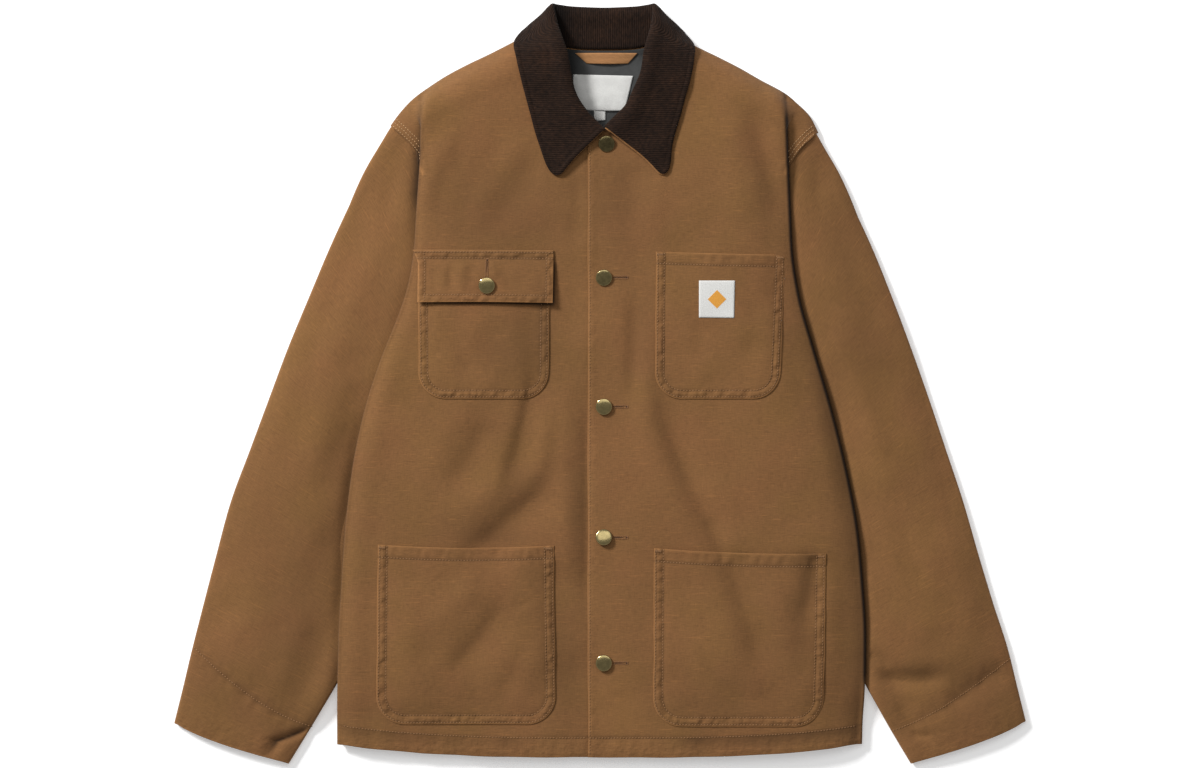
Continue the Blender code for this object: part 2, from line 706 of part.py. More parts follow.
def hanger_loop(lining):
    """A strap sewn at both ends below the back neck seam, a little slack in the middle."""
    height = drape([lining], 4.0)
    rows = []
    for share in np.linspace(0, 1, 9):
        x = LOOP_X[0] + (LOOP_X[1] - LOOP_X[0]) * share
        from_end = min(share, 1 - share)
        y = LOOP_Y - LOOP_SAG * math.sin(math.pi / 2 * min(1.0, 3 * from_end))
        z = height(x, y) + GAP + LABEL_CLOTH / 2 + LOOP_LOFT * math.sin(math.pi * share)
        rows.append([(x, y - LOOP_WIDTH, z), (x, y - LOOP_WIDTH / 2, z + 0.4), (x, y, z)])
    return sheet("hanger_loop", np.array(rows)[:, ::-1], LABEL_CLOTH, "canvas")


def neck_lining(back):
    """The facing inside the back neck, where the open collar shows it."""
    height = drape([back], 8.0)
    rows = []
    for share in np.linspace(0, 1, 7):
        row = []
        for x in np.linspace(CENTRE_X - LINING_HALF, CENTRE_X + LINING_HALF, 9):
            top = back_top_y(x) - GAP
            y = LINING_LOW_Y + (top - LINING_LOW_Y) * share
            row.append((x, y, height(x, y) + GAP + LABEL_CLOTH / 2))
        rows.append(row)
    return sheet("back_neck_lining", rows, LABEL_CLOTH, "lining")


def button(name, x, y, supports):
    """A plain brass button: a turned profile with a rounded rim and a shallow dish."""
    z = drape(supports, BUTTON_RADIUS)(x, y) + GAP
    r, h = BUTTON_RADIUS, BUTTON_HEIGHT
    dish, rim = (r * 0.62, h * 0.72), ((r * 0.74, h), (r * 0.9, h), (r, h * 0.62))
    profile = ((0, dish[1]), dish, *rim, (r * 0.94, 0), (0, 0))
    mesh = bpy.data.meshes.new(name)
    bm = bmesh.new()
    points = [bm.verts.new((px * MM, 0, pz * MM)) for px, pz in profile]
    for a, b in zip(points, points[1:]):
        bm.edges.new((a, b))
    bm.to_mesh(mesh)
    bm.free()
    made = bpy.data.objects.new(name, mesh)
    bpy.data.collections[COLLECTION].objects.link(made)
    made.location = (x * MM, y * MM, z * MM)
    made.data.materials.append(material("brass"))
    turn = made.modifiers.new("turn", "SCREW")
    turn.steps = turn.render_steps = BUTTON_STEPS
    turn.use_merge_vertices = True
    turn.merge_threshold = 0.00001
    turn.use_smooth_shade = True
    return made


def clear_scene():
    for obj in list(bpy.data.objects):
        bpy.data.objects.remove(obj, do_unlink=True)
    bpy.context.scene.collection.children.link(bpy.data.collections.new(COLLECTION))


def main():
    clear_scene()
    back = sheet("back", back_point_rows(), CANVAS, "canvas")
    right = sheet("front_right", front_point_rows("right"), CANVAS, "canvas")
    left = sheet("front_left", front_point_rows("left"), CANVAS, "canvas")
    sleeve = sheet("sleeve_right", sleeve_rings("right"), SLEEVE_CLOTH, "canvas", closed=True)
    sheet("sleeve_left", sleeve_rings("left"), SLEEVE_CLOTH, "canvas", closed=True)
    lining = neck_lining(back)
    over = drape([right, left], 3.0)
    half = (COLLAR_CLOTH + COLLAR_LAYER_GAP) / 2
    sheet("collar", collar_rows(over, half), COLLAR_CLOTH, "corduroy")
    sheet("under_collar", collar_rows(over, -half), COLLAR_CLOTH, "canvas")
    hanger_loop(lining)
    label = plate("neck_label", [lining], "label", reach=6.0)
    plate("size_tab", [lining], "label", reach=3.0)
    chest = plate("chest_pocket_right", [right], "canvas")
    flap = plate("chest_flap_right", [right, chest, sleeve], "canvas")
    chest_left = plate("chest_pocket_left", [left], "canvas")
    plate("pocket_patch", [chest_left], "label", reach=5.0)
    plate("hip_pocket_right", [right], "canvas")
    plate("hip_pocket_left", [left], "canvas")
    for number, (x, y) in enumerate(BUTTON_PLACES, 1):
        button(f"button_{number}", x, y, [left])
    button("flap_button", *FLAP_BUTTON_PLACE, [flap])


main()
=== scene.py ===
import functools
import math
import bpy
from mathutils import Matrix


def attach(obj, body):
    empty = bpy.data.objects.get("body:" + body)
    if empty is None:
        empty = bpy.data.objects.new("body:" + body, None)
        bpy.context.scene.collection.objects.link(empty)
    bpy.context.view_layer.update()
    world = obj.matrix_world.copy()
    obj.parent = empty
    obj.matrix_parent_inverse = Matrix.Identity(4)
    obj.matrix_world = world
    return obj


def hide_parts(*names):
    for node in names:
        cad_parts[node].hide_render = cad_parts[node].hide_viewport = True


bl_info = {
    "name": "Chore Jacket",
    "version": (1, 0, 0),
    "blender": (4, 5, 0),
    "location": "3D View > Sidebar > Jacket",
    "description": "Sews a canvas chore jacket, laid flat and face up, over its packed frame",
    "category": "Object",
}

import bmesh
import bpy
import numpy as np
from mathutils import Matrix, Vector, noise
from mathutils.bvhtree import BVHTree

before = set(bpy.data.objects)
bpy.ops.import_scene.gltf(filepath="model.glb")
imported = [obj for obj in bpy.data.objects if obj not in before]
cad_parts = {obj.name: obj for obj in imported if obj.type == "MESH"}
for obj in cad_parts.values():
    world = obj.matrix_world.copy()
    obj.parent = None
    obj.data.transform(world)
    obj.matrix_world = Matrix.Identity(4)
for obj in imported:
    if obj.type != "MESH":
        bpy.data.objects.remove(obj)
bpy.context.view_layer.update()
MM = 0.001
X, Y, Z = 0, 1, 2


# ---- The jacket's form: the tables and sections that the frame was cut from, in millimetres ----

# Cloth
CANVAS = 1.6
SLEEVE_CLOTH = 1.4
COLLAR_CLOTH = 1.2
COLLAR_LAYER_GAP = 0.9
GAP = 0.3

# Body
HEM_Y = -381.0
HEM_CORNER_RISE = 13.0
BODY_HALF = 268.0
PLACKET_X = -12.3
UNDERLAP_X = 28.0
UNDERLAP_DROP = CANVAS + 2 * GAP
NECK_OUT = 74.0
NECK_RISE = 16.0
CENTRE_X = 4.0
BACK_NECK_Y = 341.0
SHOULDER_DROP = 26.0
ARMPIT_Y = 36.0

# Heights of middle layers above the ground
BACK_Z = CANVAS / 2
BACK_CREASE_RADIUS = 1.6
BACK_RETURN_Z = BACK_Z + 2 * BACK_CREASE_RADIUS
SLEEVE_LOW_Z = BACK_RETURN_Z + CANVAS / 2 + 1.5 * GAP + SLEEVE_CLOTH / 2
SLEEVE_GAP = 6.2
SLEEVE_HIGH_Z = SLEEVE_LOW_Z + SLEEVE_GAP
FRONT_CREASE_RADIUS = 3.4
SEAM_RUN = 12.0
COLLAR_STACK = 2 * COLLAR_CLOTH + COLLAR_LAYER_GAP
SHOULDER_SEAM_Z = 4.3
SHOULDER_LIFT = 1.2

# How the sections are cut into points
TAIL_POINTS = 11
TAIL_SHARES = np.arange(1, TAIL_POINTS + 1) / TAIL_POINTS
TAIL_RUN = 14.0
CREASE_POINTS = 4
RUN_POINTS = TAIL_POINTS - CREASE_POINTS
FRONT_LEVELS = (
    -381, -360, -330, -300, -270, -225, -158, -90, -40, 5, 36, 65, 100, 140, 180, 205, 218, 234,
)
TOP_ROWS = (14.0, 6.0, 0.0)
ROW_TOP = 27.0

# The crease opens into a step between these heights up the side, front and back.
OPENING_Y = (205.0, 232.0)
BACK_OPENING_Y = (148.0, 188.0)
SLEEVE_LANDING_Y = (196.0, 224.0)
STEP_DROP = 2.9
STEP_RADIUS = 2.0
BACK_INSET = 3.0
ARMHOLE_EASE = 1.5
ARMHOLE_DIP = 1.9
ARMHOLE_DIP_Y = (190.0, 212.0)

# Side of the body, row by row from the hem up.
# crease_*: distance from x = 0 to the crease where the front folds under, right and left side.
# tuck: how far the folded-under part runs back to the side seam.
# under: height of the folded-under part of the front.
SIDE_COLUMNS = ("y", "crease_right", "crease_left", "tuck", "under")
SIDE_ROWS = (
    (-385, 268, 267, 8, 5.9),
    (-340, 268, 268, 9, 6.6),
    (-300, 267, 270, 15, 14.2),
    (-255, 266, 270, 29, 14.4),
    (-203, 263, 267, 46, 14.4),
    (-158, 260, 263, 62, 14.4),
    (-115, 256, 256, 75, 14.4),
    (-40, 243, 239, 88, 14.4),
    (36, 219, 217, 86, 14.4),
    (90, 198, 202, 62, 14.4),
    (139, 189, 195, 40, 14.4),
    (190, 186, 193, 20, 14.4),
    (237, 183, 191, 6, 14.4),
    (300, 182, 189, 4, 14.4),
)

# Shoulder line from the neck point to the top of the sleeve seam, and the armhole from there down.
SHOULDER_COLUMNS = ("x", "y_right", "y_left")
SHOULDER_ROWS = (
    (50, 368, 369),
    (87, 350, 350),
    (119, 334, 335),
    (148, 320, 320),
    (172, 305, 306),
    (189, 293, 297),
    (202, 280, 286),
    (214, 264, 274),
    (223, 250, 257),
)
ARMHOLE_COLUMNS = ("y_right", "x_right", "y_left", "x_left")
ARMHOLE_ROWS = (
    (36, 135, 36, 135),
    (60, 140, 60, 143),
    (100, 150, 100, 154),
    (160, 164, 160, 170),
    (205, 175, 200, 184),
    (222, 180, 222, 194),
    (232, 184, 233, 200),
    (244, 193, 244, 209),
    (253, 202, 251, 216),
    (264, 214, 257, 223),
)
SHOULDER_TIP = {"right": (214, 264), "left": (223, 257)}

# Neck edge of the fronts, from the front edge to the neck point (distances from the collar's centre).
NECK_COLUMNS = ("out", "y")
NECK_ROWS = (
    (-32, 254), (-16, 256), (6, 260), (22, 266), (38, 277), (50, 294), (58, 318), (66, 345), (74, 357),
)

# Height of the front's middle layer along its length, and how much the middle stands over the crease.
LOFT_COLUMNS = ("y", "middle")
LOFT_ROWS = (
    (-385, 12.6), (-340, 15.0), (-280, 20.0), (-160, 22.4), (0, 23.4), (140, 23.4), (230, 21.6), (365, 18.0),
)

SLEEVE_COLUMNS = (
    "out_x_right", "out_y_right", "in_x_right", "out_x_left", "out_y_left", "in_x_left",
    "in_y", "rise", "bow",
)
SLEEVE_ROWS = (
    (216.5, 262, 148, 226.6, 253.6, 148, 38, 0, 1.0),
    (228, 240, 150, 236, 233, 150, 28, 2, 0.8),
    (245, 207, 156, 248, 206, 156, 4, 6, 0.35),
    (270, 152, 163, 272, 152, 163, -22, 9, 0.0),
    (298, 86, 172, 299, 86, 172, -54, 10, 0.0),
    (319, 35, 184, 318, 35, 184, -88, 10, 0.0),
    (338, -16, 197, 336, -16, 197, -121, 10, 0.0),
    (357, -67, 213, 353, -67, 213, -160, 9, 0.0),
    (376, -118, 230, 370, -118, 230, -203, 9, 0.0),
    (393, -180, 249, 388, -180, 249, -255, 8, 0.0),
    (405, -226, 266, 402, -226, 268, -300, 7, 0.0),
    (416, -269, 283, 416, -269, 284, -330, 6, 0.0),
    (427, -315, 303, 427, -313, 303, -362, 5, 0.0),
    (435, -347, 319, 435, -345, 318.6, -388, 4, 0.0),
)
SLEEVE_EDGE_RADIUS = 3.3
SLEEVE_RISE_RUN = (14.0, 40.0)
SLEEVE_DROP_RUN = (20.0, 40.0)
SLEEVE_SPANS = 8
SLEEVE_SPREAD = 1.4
SEAM_EDGE_GAP = 0.5
SHOULDER_EDGE_GAP = 2.6
SHOULDER_GAP_Y = (240.0, 262.0)
UNDERARM_SHARE = 0.14

# Collar stations from the right front tip round the back to the left front tip, in plan.
# n: neck seam, r: roll, o: outer edge.
COLLAR_COLUMNS = ("n_x", "n_y", "r_x", "r_y", "o_x", "o_y", "facing", "n_z", "r_z", "o_z", "over")
COLLAR_ROWS = (
    (-2, 258, 3, 257, -43.5, 213.5),
    (-21, 264, -8, 268, -51, 221),
    (-38, 275, -19, 280, -62, 245),
    (-50, 291, -29, 299, -72, 280),
    (-58, 314, -33, 319, -80, 310),
    (-65, 338, -37.5, 344, -86, 336),
    (-62, 352, -41, 367, -89, 350),
    (-53, 355, -44, 384, -79, 362),
    (-44, 350, -40, 385, -66, 352),
    (-32, 344.4, -28, 383, -44, 326),
    (-14, 342.6, -13, 382, -18, 314),
    (4, 342.4, 4, 381.5, 4, 312),
    (22, 342.6, 21, 382, 26, 314),
    (40, 344.4, 36, 383, 52, 326),
    (52, 350, 47, 385, 74, 352),
    (61, 355, 51, 384, 86, 361),
    (70, 352, 50, 367, 96.5, 347),
    (73, 338, 48, 344, 96, 334),
    (66, 314, 45, 319, 93, 310),
    (58, 291, 37, 299, 86, 280),
    (46, 275, 28, 281, 76, 245),
    (29, 264, 18, 271, 71, 222),
    (10, 258, 7, 260, 67, 214.7),
)
# The stations' other columns, from either tip to the back. facing: 90 where the fall lies on top of the
# stand, -90 where it lies below; *_z: height of the middle of the two layers, or over the front if "over"
# is 1.
COLLAR_HEIGHTS = (
    (90, 0.5, 2.6, 0.5, 1),
    (90, 0.5, 2.8, 0.5, 1),
    (90, 0.5, 3.0, 0.5, 1),
    (90, 0.5, 3.0, 0.6, 1),
    (90, 0.5, 3.0, 1.2, 1),
    (90, 1.0, 3.2, 1.5, 1),
    (60, 16.0, 18.0, 11.5, 0),
    (10, 9.0, 11.0, 4.5, 0),
    (-60, 6.5, 6.5, 1.8, 0),
    (-85, 5.6, 4.0, 1.85, 0),
    (-90, 5.3, 3.8, 1.82, 0),
    (-90, 5.3, 3.8, 1.82, 0),
)
COLLAR_ROLL_RADIUS = 2.1
COLLAR_TURN = (4, 10)
FALL_OUT = 84.0
NECK_LIFT = COLLAR_STACK + 1.5 * GAP
FALL_LOW_Y = 312.0


def columns(rows, names, *wanted):
    """Picks columns of a table by name."""
    table = np.array(rows, float)
    picked = [table[:, names.index(name)] for name in wanted]
    return picked[0] if len(picked) == 1 else picked


def between(t, start, end, length, slope, end_slope):
    """A cubic from start to end at a share t of its length, with these slopes at its ends."""
    low = start * (1 + 2 * t) * (1 - t) ** 2 + length * slope * t * (1 - t) ** 2
    high = end * t * t * (3 - 2 * t) - length * end_slope * t * t * (1 - t)
    return low + high


def eased(xs, ys):
    """A smooth curve through the points: cubic pieces whose slopes never overshoot."""
    steps = np.diff(ys) / np.diff(xs)
    slopes = np.concatenate((steps[:1], steps[1:], steps[-1:]))
    same_way = steps[:-1] * steps[1:] > 0
    totals = np.where(same_way, steps[:-1] + steps[1:], 1)
    slopes[1:-1] = np.where(same_way, 2 * steps[:-1] * steps[1:] / totals, 0)

    def at(x):
        x = float(np.clip(x, xs[0], xs[-1]))
        i = int(np.clip(np.searchsorted(xs, x) - 1, 0, len(xs) - 2))
        length = xs[i + 1] - xs[i]
        return float(between((x - xs[i]) / length, ys[i], ys[i + 1], length, slopes[i], slopes[i + 1]))

    return at


def smooth(t):
    """From 0 to 1 with no slope at either end."""
    return t * t * (3 - 2 * t)


def step(x, start, end):
    """0 before start and 1 past end, smooth between."""
    return smooth(min(1.0, max(0.0, (x - start) / (end - start))))


SIGN = {"right": -1, "left": 1}
SIDE_Y = columns(SIDE_ROWS, SIDE_COLUMNS, "y")
CREASE = {
    side: eased(SIDE_Y, columns(SIDE_ROWS, SIDE_COLUMNS, "crease_" + side)) for side in SIGN
}
TUCK = eased(SIDE_Y, columns(SIDE_ROWS, SIDE_COLUMNS, "tuck"))
UNDER_Z = eased(SIDE_Y, columns(SIDE_ROWS, SIDE_COLUMNS, "under"))
ARMHOLE = {
    side: eased(*columns(ARMHOLE_ROWS, ARMHOLE_COLUMNS, "y_" + side, "x_" + side)) for side in SIGN
}
SHOULDER = {
    side: eased(*columns(SHOULDER_ROWS, SHOULDER_COLUMNS, "x", "y_" + side)) for side in SIGN
}
MIDDLE_Z = eased(*columns(LOFT_ROWS, LOFT_COLUMNS, "y", "middle"))
NECK_EDGE = eased(*columns(NECK_ROWS, NECK_COLUMNS, "out", "y"))


def back_seam_z(y):
    """Height of the back's edge at the side seam, under the front's edge."""
    return BACK_RETURN_Z + (UNDER_Z(y) - CANVAS - GAP - BACK_RETURN_Z) * 0.45


def hem_y(x):
    """The hem's edge rises a little towards the side seams."""
    return HEM_Y + HEM_CORNER_RISE * min(1.0, abs(x) / BODY_HALF) ** 3


def out_of_centre(x):
    """Distance from the collar's centre line."""
    return abs(x - CENTRE_X)


def front_top_y(side, x):
    """The front's upper edge at x: the neck edge, then the shoulder line."""
    out = (x - CENTRE_X) * SIGN[side]
    if out < NECK_OUT:
        return NECK_EDGE(out)
    return SHOULDER[side](x * SIGN[side])


def back_top_y(x):
    """The back's upper edge at x: the back neck seam, then the shoulder line."""
    out = out_of_centre(x)
    side = "left" if x > CENTRE_X else "right"
    if out < NECK_OUT:
        return BACK_NECK_Y + NECK_RISE * (out / NECK_OUT) ** 3
    return SHOULDER[side](abs(x))


def neck_lift(x):
    """How far the back and the shoulder seams are raised over the collar's fall."""
    return NECK_LIFT * (1 - step(out_of_centre(x), FALL_OUT, FALL_OUT + 22))


def front_z(side, x, y):
    """Height of the front's middle layer on its upper face."""
    crown = UNDER_Z(y) + 2 * FRONT_CREASE_RADIUS
    middle = MIDDLE_Z(y)
    out = min(1.0, abs(x) / CREASE[side](y))
    height = crown + (middle - crown) * (1 - out**4)
    if side == "right":
        height -= UNDERLAP_DROP * step(x, PLACKET_X - 34, PLACKET_X - 10)
    if (x - CENTRE_X) * SIGN[side] > NECK_OUT - 20:
        height = towards_shoulder(side, x, y, height)
    return height


def towards_shoulder(side, x, y, height):
    """Lets a height fall to the shoulder seam over the last stretch below it."""
    below = max(0.0, SHOULDER[side](x * SIGN[side]) - y)
    seam = SHOULDER_SEAM_Z + neck_lift(x)
    return seam + (height - seam) * math.sin(math.pi / 2 * min(1.0, below / SHOULDER_DROP))


def turned_path(x, z, turns):
    """Section points from (x, z), heading outwards.

    turns: (radius, degrees, count) for an arc, downwards positive, or (length, None, count) straight on.
    """
    heading = 0.0
    points = []
    for size, degrees, count in turns:
        for _ in range(count):
            if degrees is None:
                x += size / count * math.cos(heading)
                z -= size / count * math.sin(heading)
            else:
                piece = math.radians(degrees) / count
                chord = 2 * size * math.sin(abs(piece) / 2)
                heading += piece / 2
                x += chord * math.cos(heading)
                z -= chord * math.sin(heading)
                heading += piece / 2
            points.append((x, z))
    return np.array(points)


def side_end(side, y):
    """Where the sections end: the side seam below the armpit, the armhole seam above it."""
    return ARMHOLE[side](y) if y > ARMPIT_Y else CREASE[side](y) - TUCK(y)


def run_back(side, y, start, level, seam):
    """From a crease straight back to the seam, level at first and then bending to the seam's height."""
    back = max(1.0, start - side_end(side, y))
    runs = back * np.arange(1, RUN_POINTS + 1) / RUN_POINTS
    bend = np.array([step(run, back - SEAM_RUN, back) for run in runs])
    return np.column_stack((start - runs, level + (seam - level) * bend))


def seam_height(y, level, seam):
    """A height that runs from the seam's own, low down, to the level of the cloth at the armpit."""
    return level + (seam - level) * (1 - step(y, ARMPIT_Y - 26, ARMPIT_Y + 4))


def front_tail(side, y):
    """The front's section past its crease, as (distance from x = 0, height)."""
    under = UNDER_Z(y)
    crown = under + 2 * FRONT_CREASE_RADIUS
    start = CREASE[side](y) - FRONT_CREASE_RADIUS
    crease = turned_path(start, crown, ((FRONT_CREASE_RADIUS, 180.0, CREASE_POINTS),))
    seam = seam_height(y, under, back_seam_z(y) + CANVAS + GAP)
    folded = np.vstack((crease, run_back(side, y, start, crease[-1, 1], seam)))
    end = ARMHOLE[side](y)
    turns = (FRONT_CREASE_RADIUS, 100.0, CREASE_POINTS), (STEP_DROP, None, 1), (STEP_RADIUS, -100.0, 3)
    stepped = turned_path(start, crown, turns)
    last_x, last_z = stepped[-1]
    run = max(1.0, end - last_x)
    stepped = np.vstack((stepped, [(last_x + run * k / 3, last_z) for k in (1, 2, 3)]))
    section = folded + (stepped - folded) * step(y, *OPENING_Y)
    flat_x = start + (max(end, start + 4) - start) * TAIL_SHARES
    below = np.array([SHOULDER[side](x) - y for x in flat_x])
    flat_z = [towards_shoulder(side, x * SIGN[side], y, last_z) for x in flat_x]
    kept = np.array([step(b, 1.0, 26.0) for b in below])[:, None]
    return np.column_stack((flat_x, flat_z)) * (1 - kept) + section * kept


def front_point_rows(side):
    """The grid of a front's middle layer."""
    signed = SIGN[side]
    first_out = {"right": -UNDERLAP_X, "left": PLACKET_X}[side]
    reach = CREASE[side](300) - FRONT_CREASE_RADIUS
    neck_share = (NECK_OUT + CENTRE_X * signed - first_out) / (reach - first_out)
    across = np.concatenate((np.linspace(0, neck_share, 5), np.linspace(neck_share, 1, 6)[1:]))
    tip, last = SHOULDER_TIP[side][0], len(across) - 1
    tops = [front_top_y(side, signed * (first_out + share * (reach - first_out))) for share in across]
    tops += [SHOULDER[side](reach + (tip - reach) * share) for share in TAIL_SHARES]
    rows = []
    for level, below in row_levels():
        row = []
        for k, top in enumerate(tops):
            y = row_y(level, below, top, 0 if k < 2 else BODY_HALF * min(1.0, k / last))
            if k <= last:
                x = signed * (first_out + across[k] * (CREASE[side](y) - FRONT_CREASE_RADIUS - first_out))
                row.append((x, y, front_z(side, x, y)))
            else:
                x, z = front_tail(side, y)[k - last - 1]
                row.append((signed * x, y, z))
        rows.append(row)
    return rows


def row_levels():
    """Rows from the hem up: shares of the stretch below the shoulder, then distances below the top."""
    stretch = FRONT_LEVELS[-1] - FRONT_LEVELS[0]
    levels = [((y - FRONT_LEVELS[0]) / stretch, None) for y in FRONT_LEVELS]
    return levels + [(None, below) for below in TOP_ROWS]


def row_y(level, below, top, hem_x):
    """Where a row of the grid lies in a column, between the hem and the column's top."""
    hem = hem_y(hem_x)
    return top - below if level is None else hem + (top - ROW_TOP - hem) * level


def back_z(x, y):
    """Height of the back's middle layer: flat on the ground, raised at the neck and the shoulders."""
    side = "left" if x > CENTRE_X else "right"
    lift = neck_lift(x) * step(y, FALL_LOW_Y - 52, FALL_LOW_Y - 18)
    below = SHOULDER[side](abs(x)) - y if out_of_centre(x) > NECK_OUT else 99.0
    return BACK_Z + lift + SHOULDER_LIFT * (1 - step(below, 0, 12))


def back_tail(side, y):
    """Where the back's crease starts, and its section past it, as (distance from x = 0, height)."""
    start = CREASE[side](y) - BACK_INSET - BACK_CREASE_RADIUS
    seam = seam_height(y, BACK_RETURN_Z, back_seam_z(y))
    crease = turned_path(start, -BACK_Z, ((BACK_CREASE_RADIUS, 180.0, CREASE_POINTS),)) * (1, -1)
    folded = np.vstack((crease, run_back(side, y, start, BACK_RETURN_Z, seam)))
    open_now = step(y, *BACK_OPENING_Y)
    first = start + (min(start, ARMHOLE[side](y) - TAIL_RUN) - start) * open_now
    flat_x = first + (ARMHOLE[side](y) - ARMHOLE_EASE - first) * TAIL_SHARES
    flat = np.column_stack((flat_x, [back_z(SIGN[side] * x, y) for x in flat_x]))
    return first, folded + (flat - folded) * open_now


def back_point_rows():
    """The grid of the back's middle layer, from the right side seam to the left."""
    across = np.linspace(0, 1, 6)
    rows = []
    for level, below in row_levels():
        row = []
        for side, signed in SIGN.items():
            reach = SHOULDER_TIP[side][0] - ARMHOLE_EASE - TAIL_RUN
            half = []
            for k, spot in enumerate([*(reach * across), *(reach + TAIL_RUN * TAIL_SHARES)]):
                y = row_y(level, below, back_top_y(signed * spot), BODY_HALF * min(1.0, k / 5))
                first, section = back_tail(side, y)
                if k < len(across):
                    x = signed * first * across[k]
                    half.append((x, y, back_z(x, y)))
                else:
                    x, z = section[k - len(across)]
                    half.append((signed * x, y, z))
            row += half[::-1] if side == "right" else half[1:]
        rows.append(row)
    return rows


def armhole_shift(side, c):
    """How far the armhole seam lies beside the straight line of the first sleeve station."""
    out_x, out_y, in_x, in_y = sleeve_stations(side)[0][:4]
    x, y = in_x + (out_x - in_x) * c, in_y + (out_y - in_y) * c
    gap = SEAM_EDGE_GAP + SHOULDER_EDGE_GAP * step(y, *SHOULDER_GAP_Y)
    return (front_tail(side, y)[-1, 0] + gap - x) * step(c, 0.0, UNDERARM_SHARE)


def sleeve_stations(side):
    """A sleeve's rows of the table, as (out_x, out_y, in_x, in_y, rise, bow)."""
    own = [name + side for name in ("out_x_", "out_y_", "in_x_")]
    return list(zip(*columns(SLEEVE_ROWS, SLEEVE_COLUMNS, *own, "in_y", "rise", "bow")))


def sleeve_rings(side):
    """Closed rings of a sleeve's middle layer, from the armhole to the cuff."""
    rings = []
    for out_x, out_y, in_x, in_y, rise, bow in sleeve_stations(side):
        inner, outer = np.array((in_x, in_y)), np.array((out_x, out_y))
        width = float(np.linalg.norm(outer - inner))
        along = (outer - inner) / width
        edge = SLEEVE_EDGE_RADIUS / width
        top, low = [], []
        for share in np.linspace(0, 1, SLEEVE_SPANS + 1):
            c = edge + (1 - 2 * edge) * (1 - (1 - share) ** SLEEVE_SPREAD)
            x, y = inner + along * width * c
            x += armhole_shift(side, c) * bow
            top.append((x, y, sleeve_top_z(side, x, y, rise * (1 - abs(2 * c - 1) ** 3))))
            low.append((x, y, sleeve_low_z(side, x, y)))
        ring = [*top, *sleeve_edge(top[-1], low[-1], along), *low[::-1], *sleeve_edge(low[0], top[0], -along)]
        rings.append([(SIGN[side] * x, y, z) for x, y, z in ring])
    return rings


def sleeve_edge(start, end, outwards):
    """Three points round a sleeve's folded edge."""
    start, end = np.array(start), np.array(end)
    middle, radius = (start + end) / 2, abs(start[2] - end[2]) / 2
    up = (start - end) / 2
    way = np.array((*outwards, 0.0)) * radius
    return [tuple(middle + up * math.cos(a) + way * math.sin(a)) for a in np.radians((45, 90, 135))]


def sleeve_top_z(side, x, y, rise):
    """Upper middle layer of a sleeve: held down between the body's folds, lofted outside them."""
    held = SLEEVE_HIGH_Z - ARMHOLE_DIP * step(y, *ARMHOLE_DIP_Y)
    free = SLEEVE_CLOTH / 2 + SLEEVE_GAP + rise
    return held + (free - held) * step(x - CREASE[side](y), *SLEEVE_RISE_RUN)


def sleeve_low_z(side, x, y):
    """Lower middle layer of a sleeve: on the back's fold, then down to the ground."""
    held = SLEEVE_LOW_Z + (SLEEVE_CLOTH / 2 - SLEEVE_LOW_Z) * step(y, *SLEEVE_LANDING_Y)
    return held + (SLEEVE_CLOTH / 2 - held) * step(x - CREASE[side](y), *SLEEVE_DROP_RUN)


def collar_frame(over):
    """Collar sections as (neck seam, roll centre, outer edge, direction from stand to fall, way out)."""
    sections = []
    flat = np.array((1, 1, 0.0))
    for row, heights in zip(COLLAR_ROWS, COLLAR_HEIGHTS + COLLAR_HEIGHTS[-2::-1]):
        at = dict(zip(COLLAR_COLUMNS, row + heights))
        n, r, o = (np.array((at[k + "_x"], at[k + "_y"], at[k + "_z"]), float) for k in "nro")
        if at["over"]:
            n[Z] += over(*n[:2]) + COLLAR_STACK / 2
            o[Z] += over(*o[:2]) + COLLAR_STACK / 2
            r[Z] += n[Z]
        back = ((n + o) / 2 - r) * flat
        side_on = (o - n) * flat
        side_on /= max(1.0, np.linalg.norm(side_on))
        facing = math.radians(at["facing"])
        turn = side_on * math.cos(facing) + np.array((0, 0, 1.0)) * math.sin(facing)
        sections.append((n, r, o, turn, -back / np.linalg.norm(back)))
    return refined(np.array(sections))


def refined(sections):
    """The sections with one more between each two round the shoulders, on a smooth curve through them."""
    made = []
    for i in range(len(sections) - 1):
        made.append(sections[i])
        if COLLAR_TURN[0] <= min(i, len(sections) - 2 - i) < COLLAR_TURN[1]:
            near, far = sections[i] + sections[i + 1], sections[i - 1] + sections[i + 2]
            made.append((9 * near - far) / 16)
    made.append(sections[-1])
    made = np.array(made)
    for k in (3, 4):
        made[:, k] /= np.linalg.norm(made[:, k], axis=1)[:, None]
    return made


def collar_rows(over, offset):
    """The grid of one collar layer, moved by offset from the middle of the two, face side positive."""
    rows = []
    for n, r, o, turn, way_out in collar_frame(over):
        turns = np.radians((-90, -30, 30, 90))
        bend = [r + COLLAR_ROLL_RADIUS * (turn * math.sin(a) + way_out * math.cos(a)) for a in turns]
        fall = [bend[-1] + (o - bend[-1]) * share for share in (0.33, 0.67, 1.0)]
        rows.append([n, n + (bend[0] - n) * 0.5, *bend, *fall])
    grid = np.array(rows)
    normal = np.cross(np.gradient(grid, axis=0), np.gradient(grid, axis=1))
    normal /= np.linalg.norm(normal, axis=2)[:, :, None]
    return grid + normal * offset


# ---- Creases and finer surfaces ----

# A crease is worked out this many widths to each side.
CREASE_REACH = 3.2
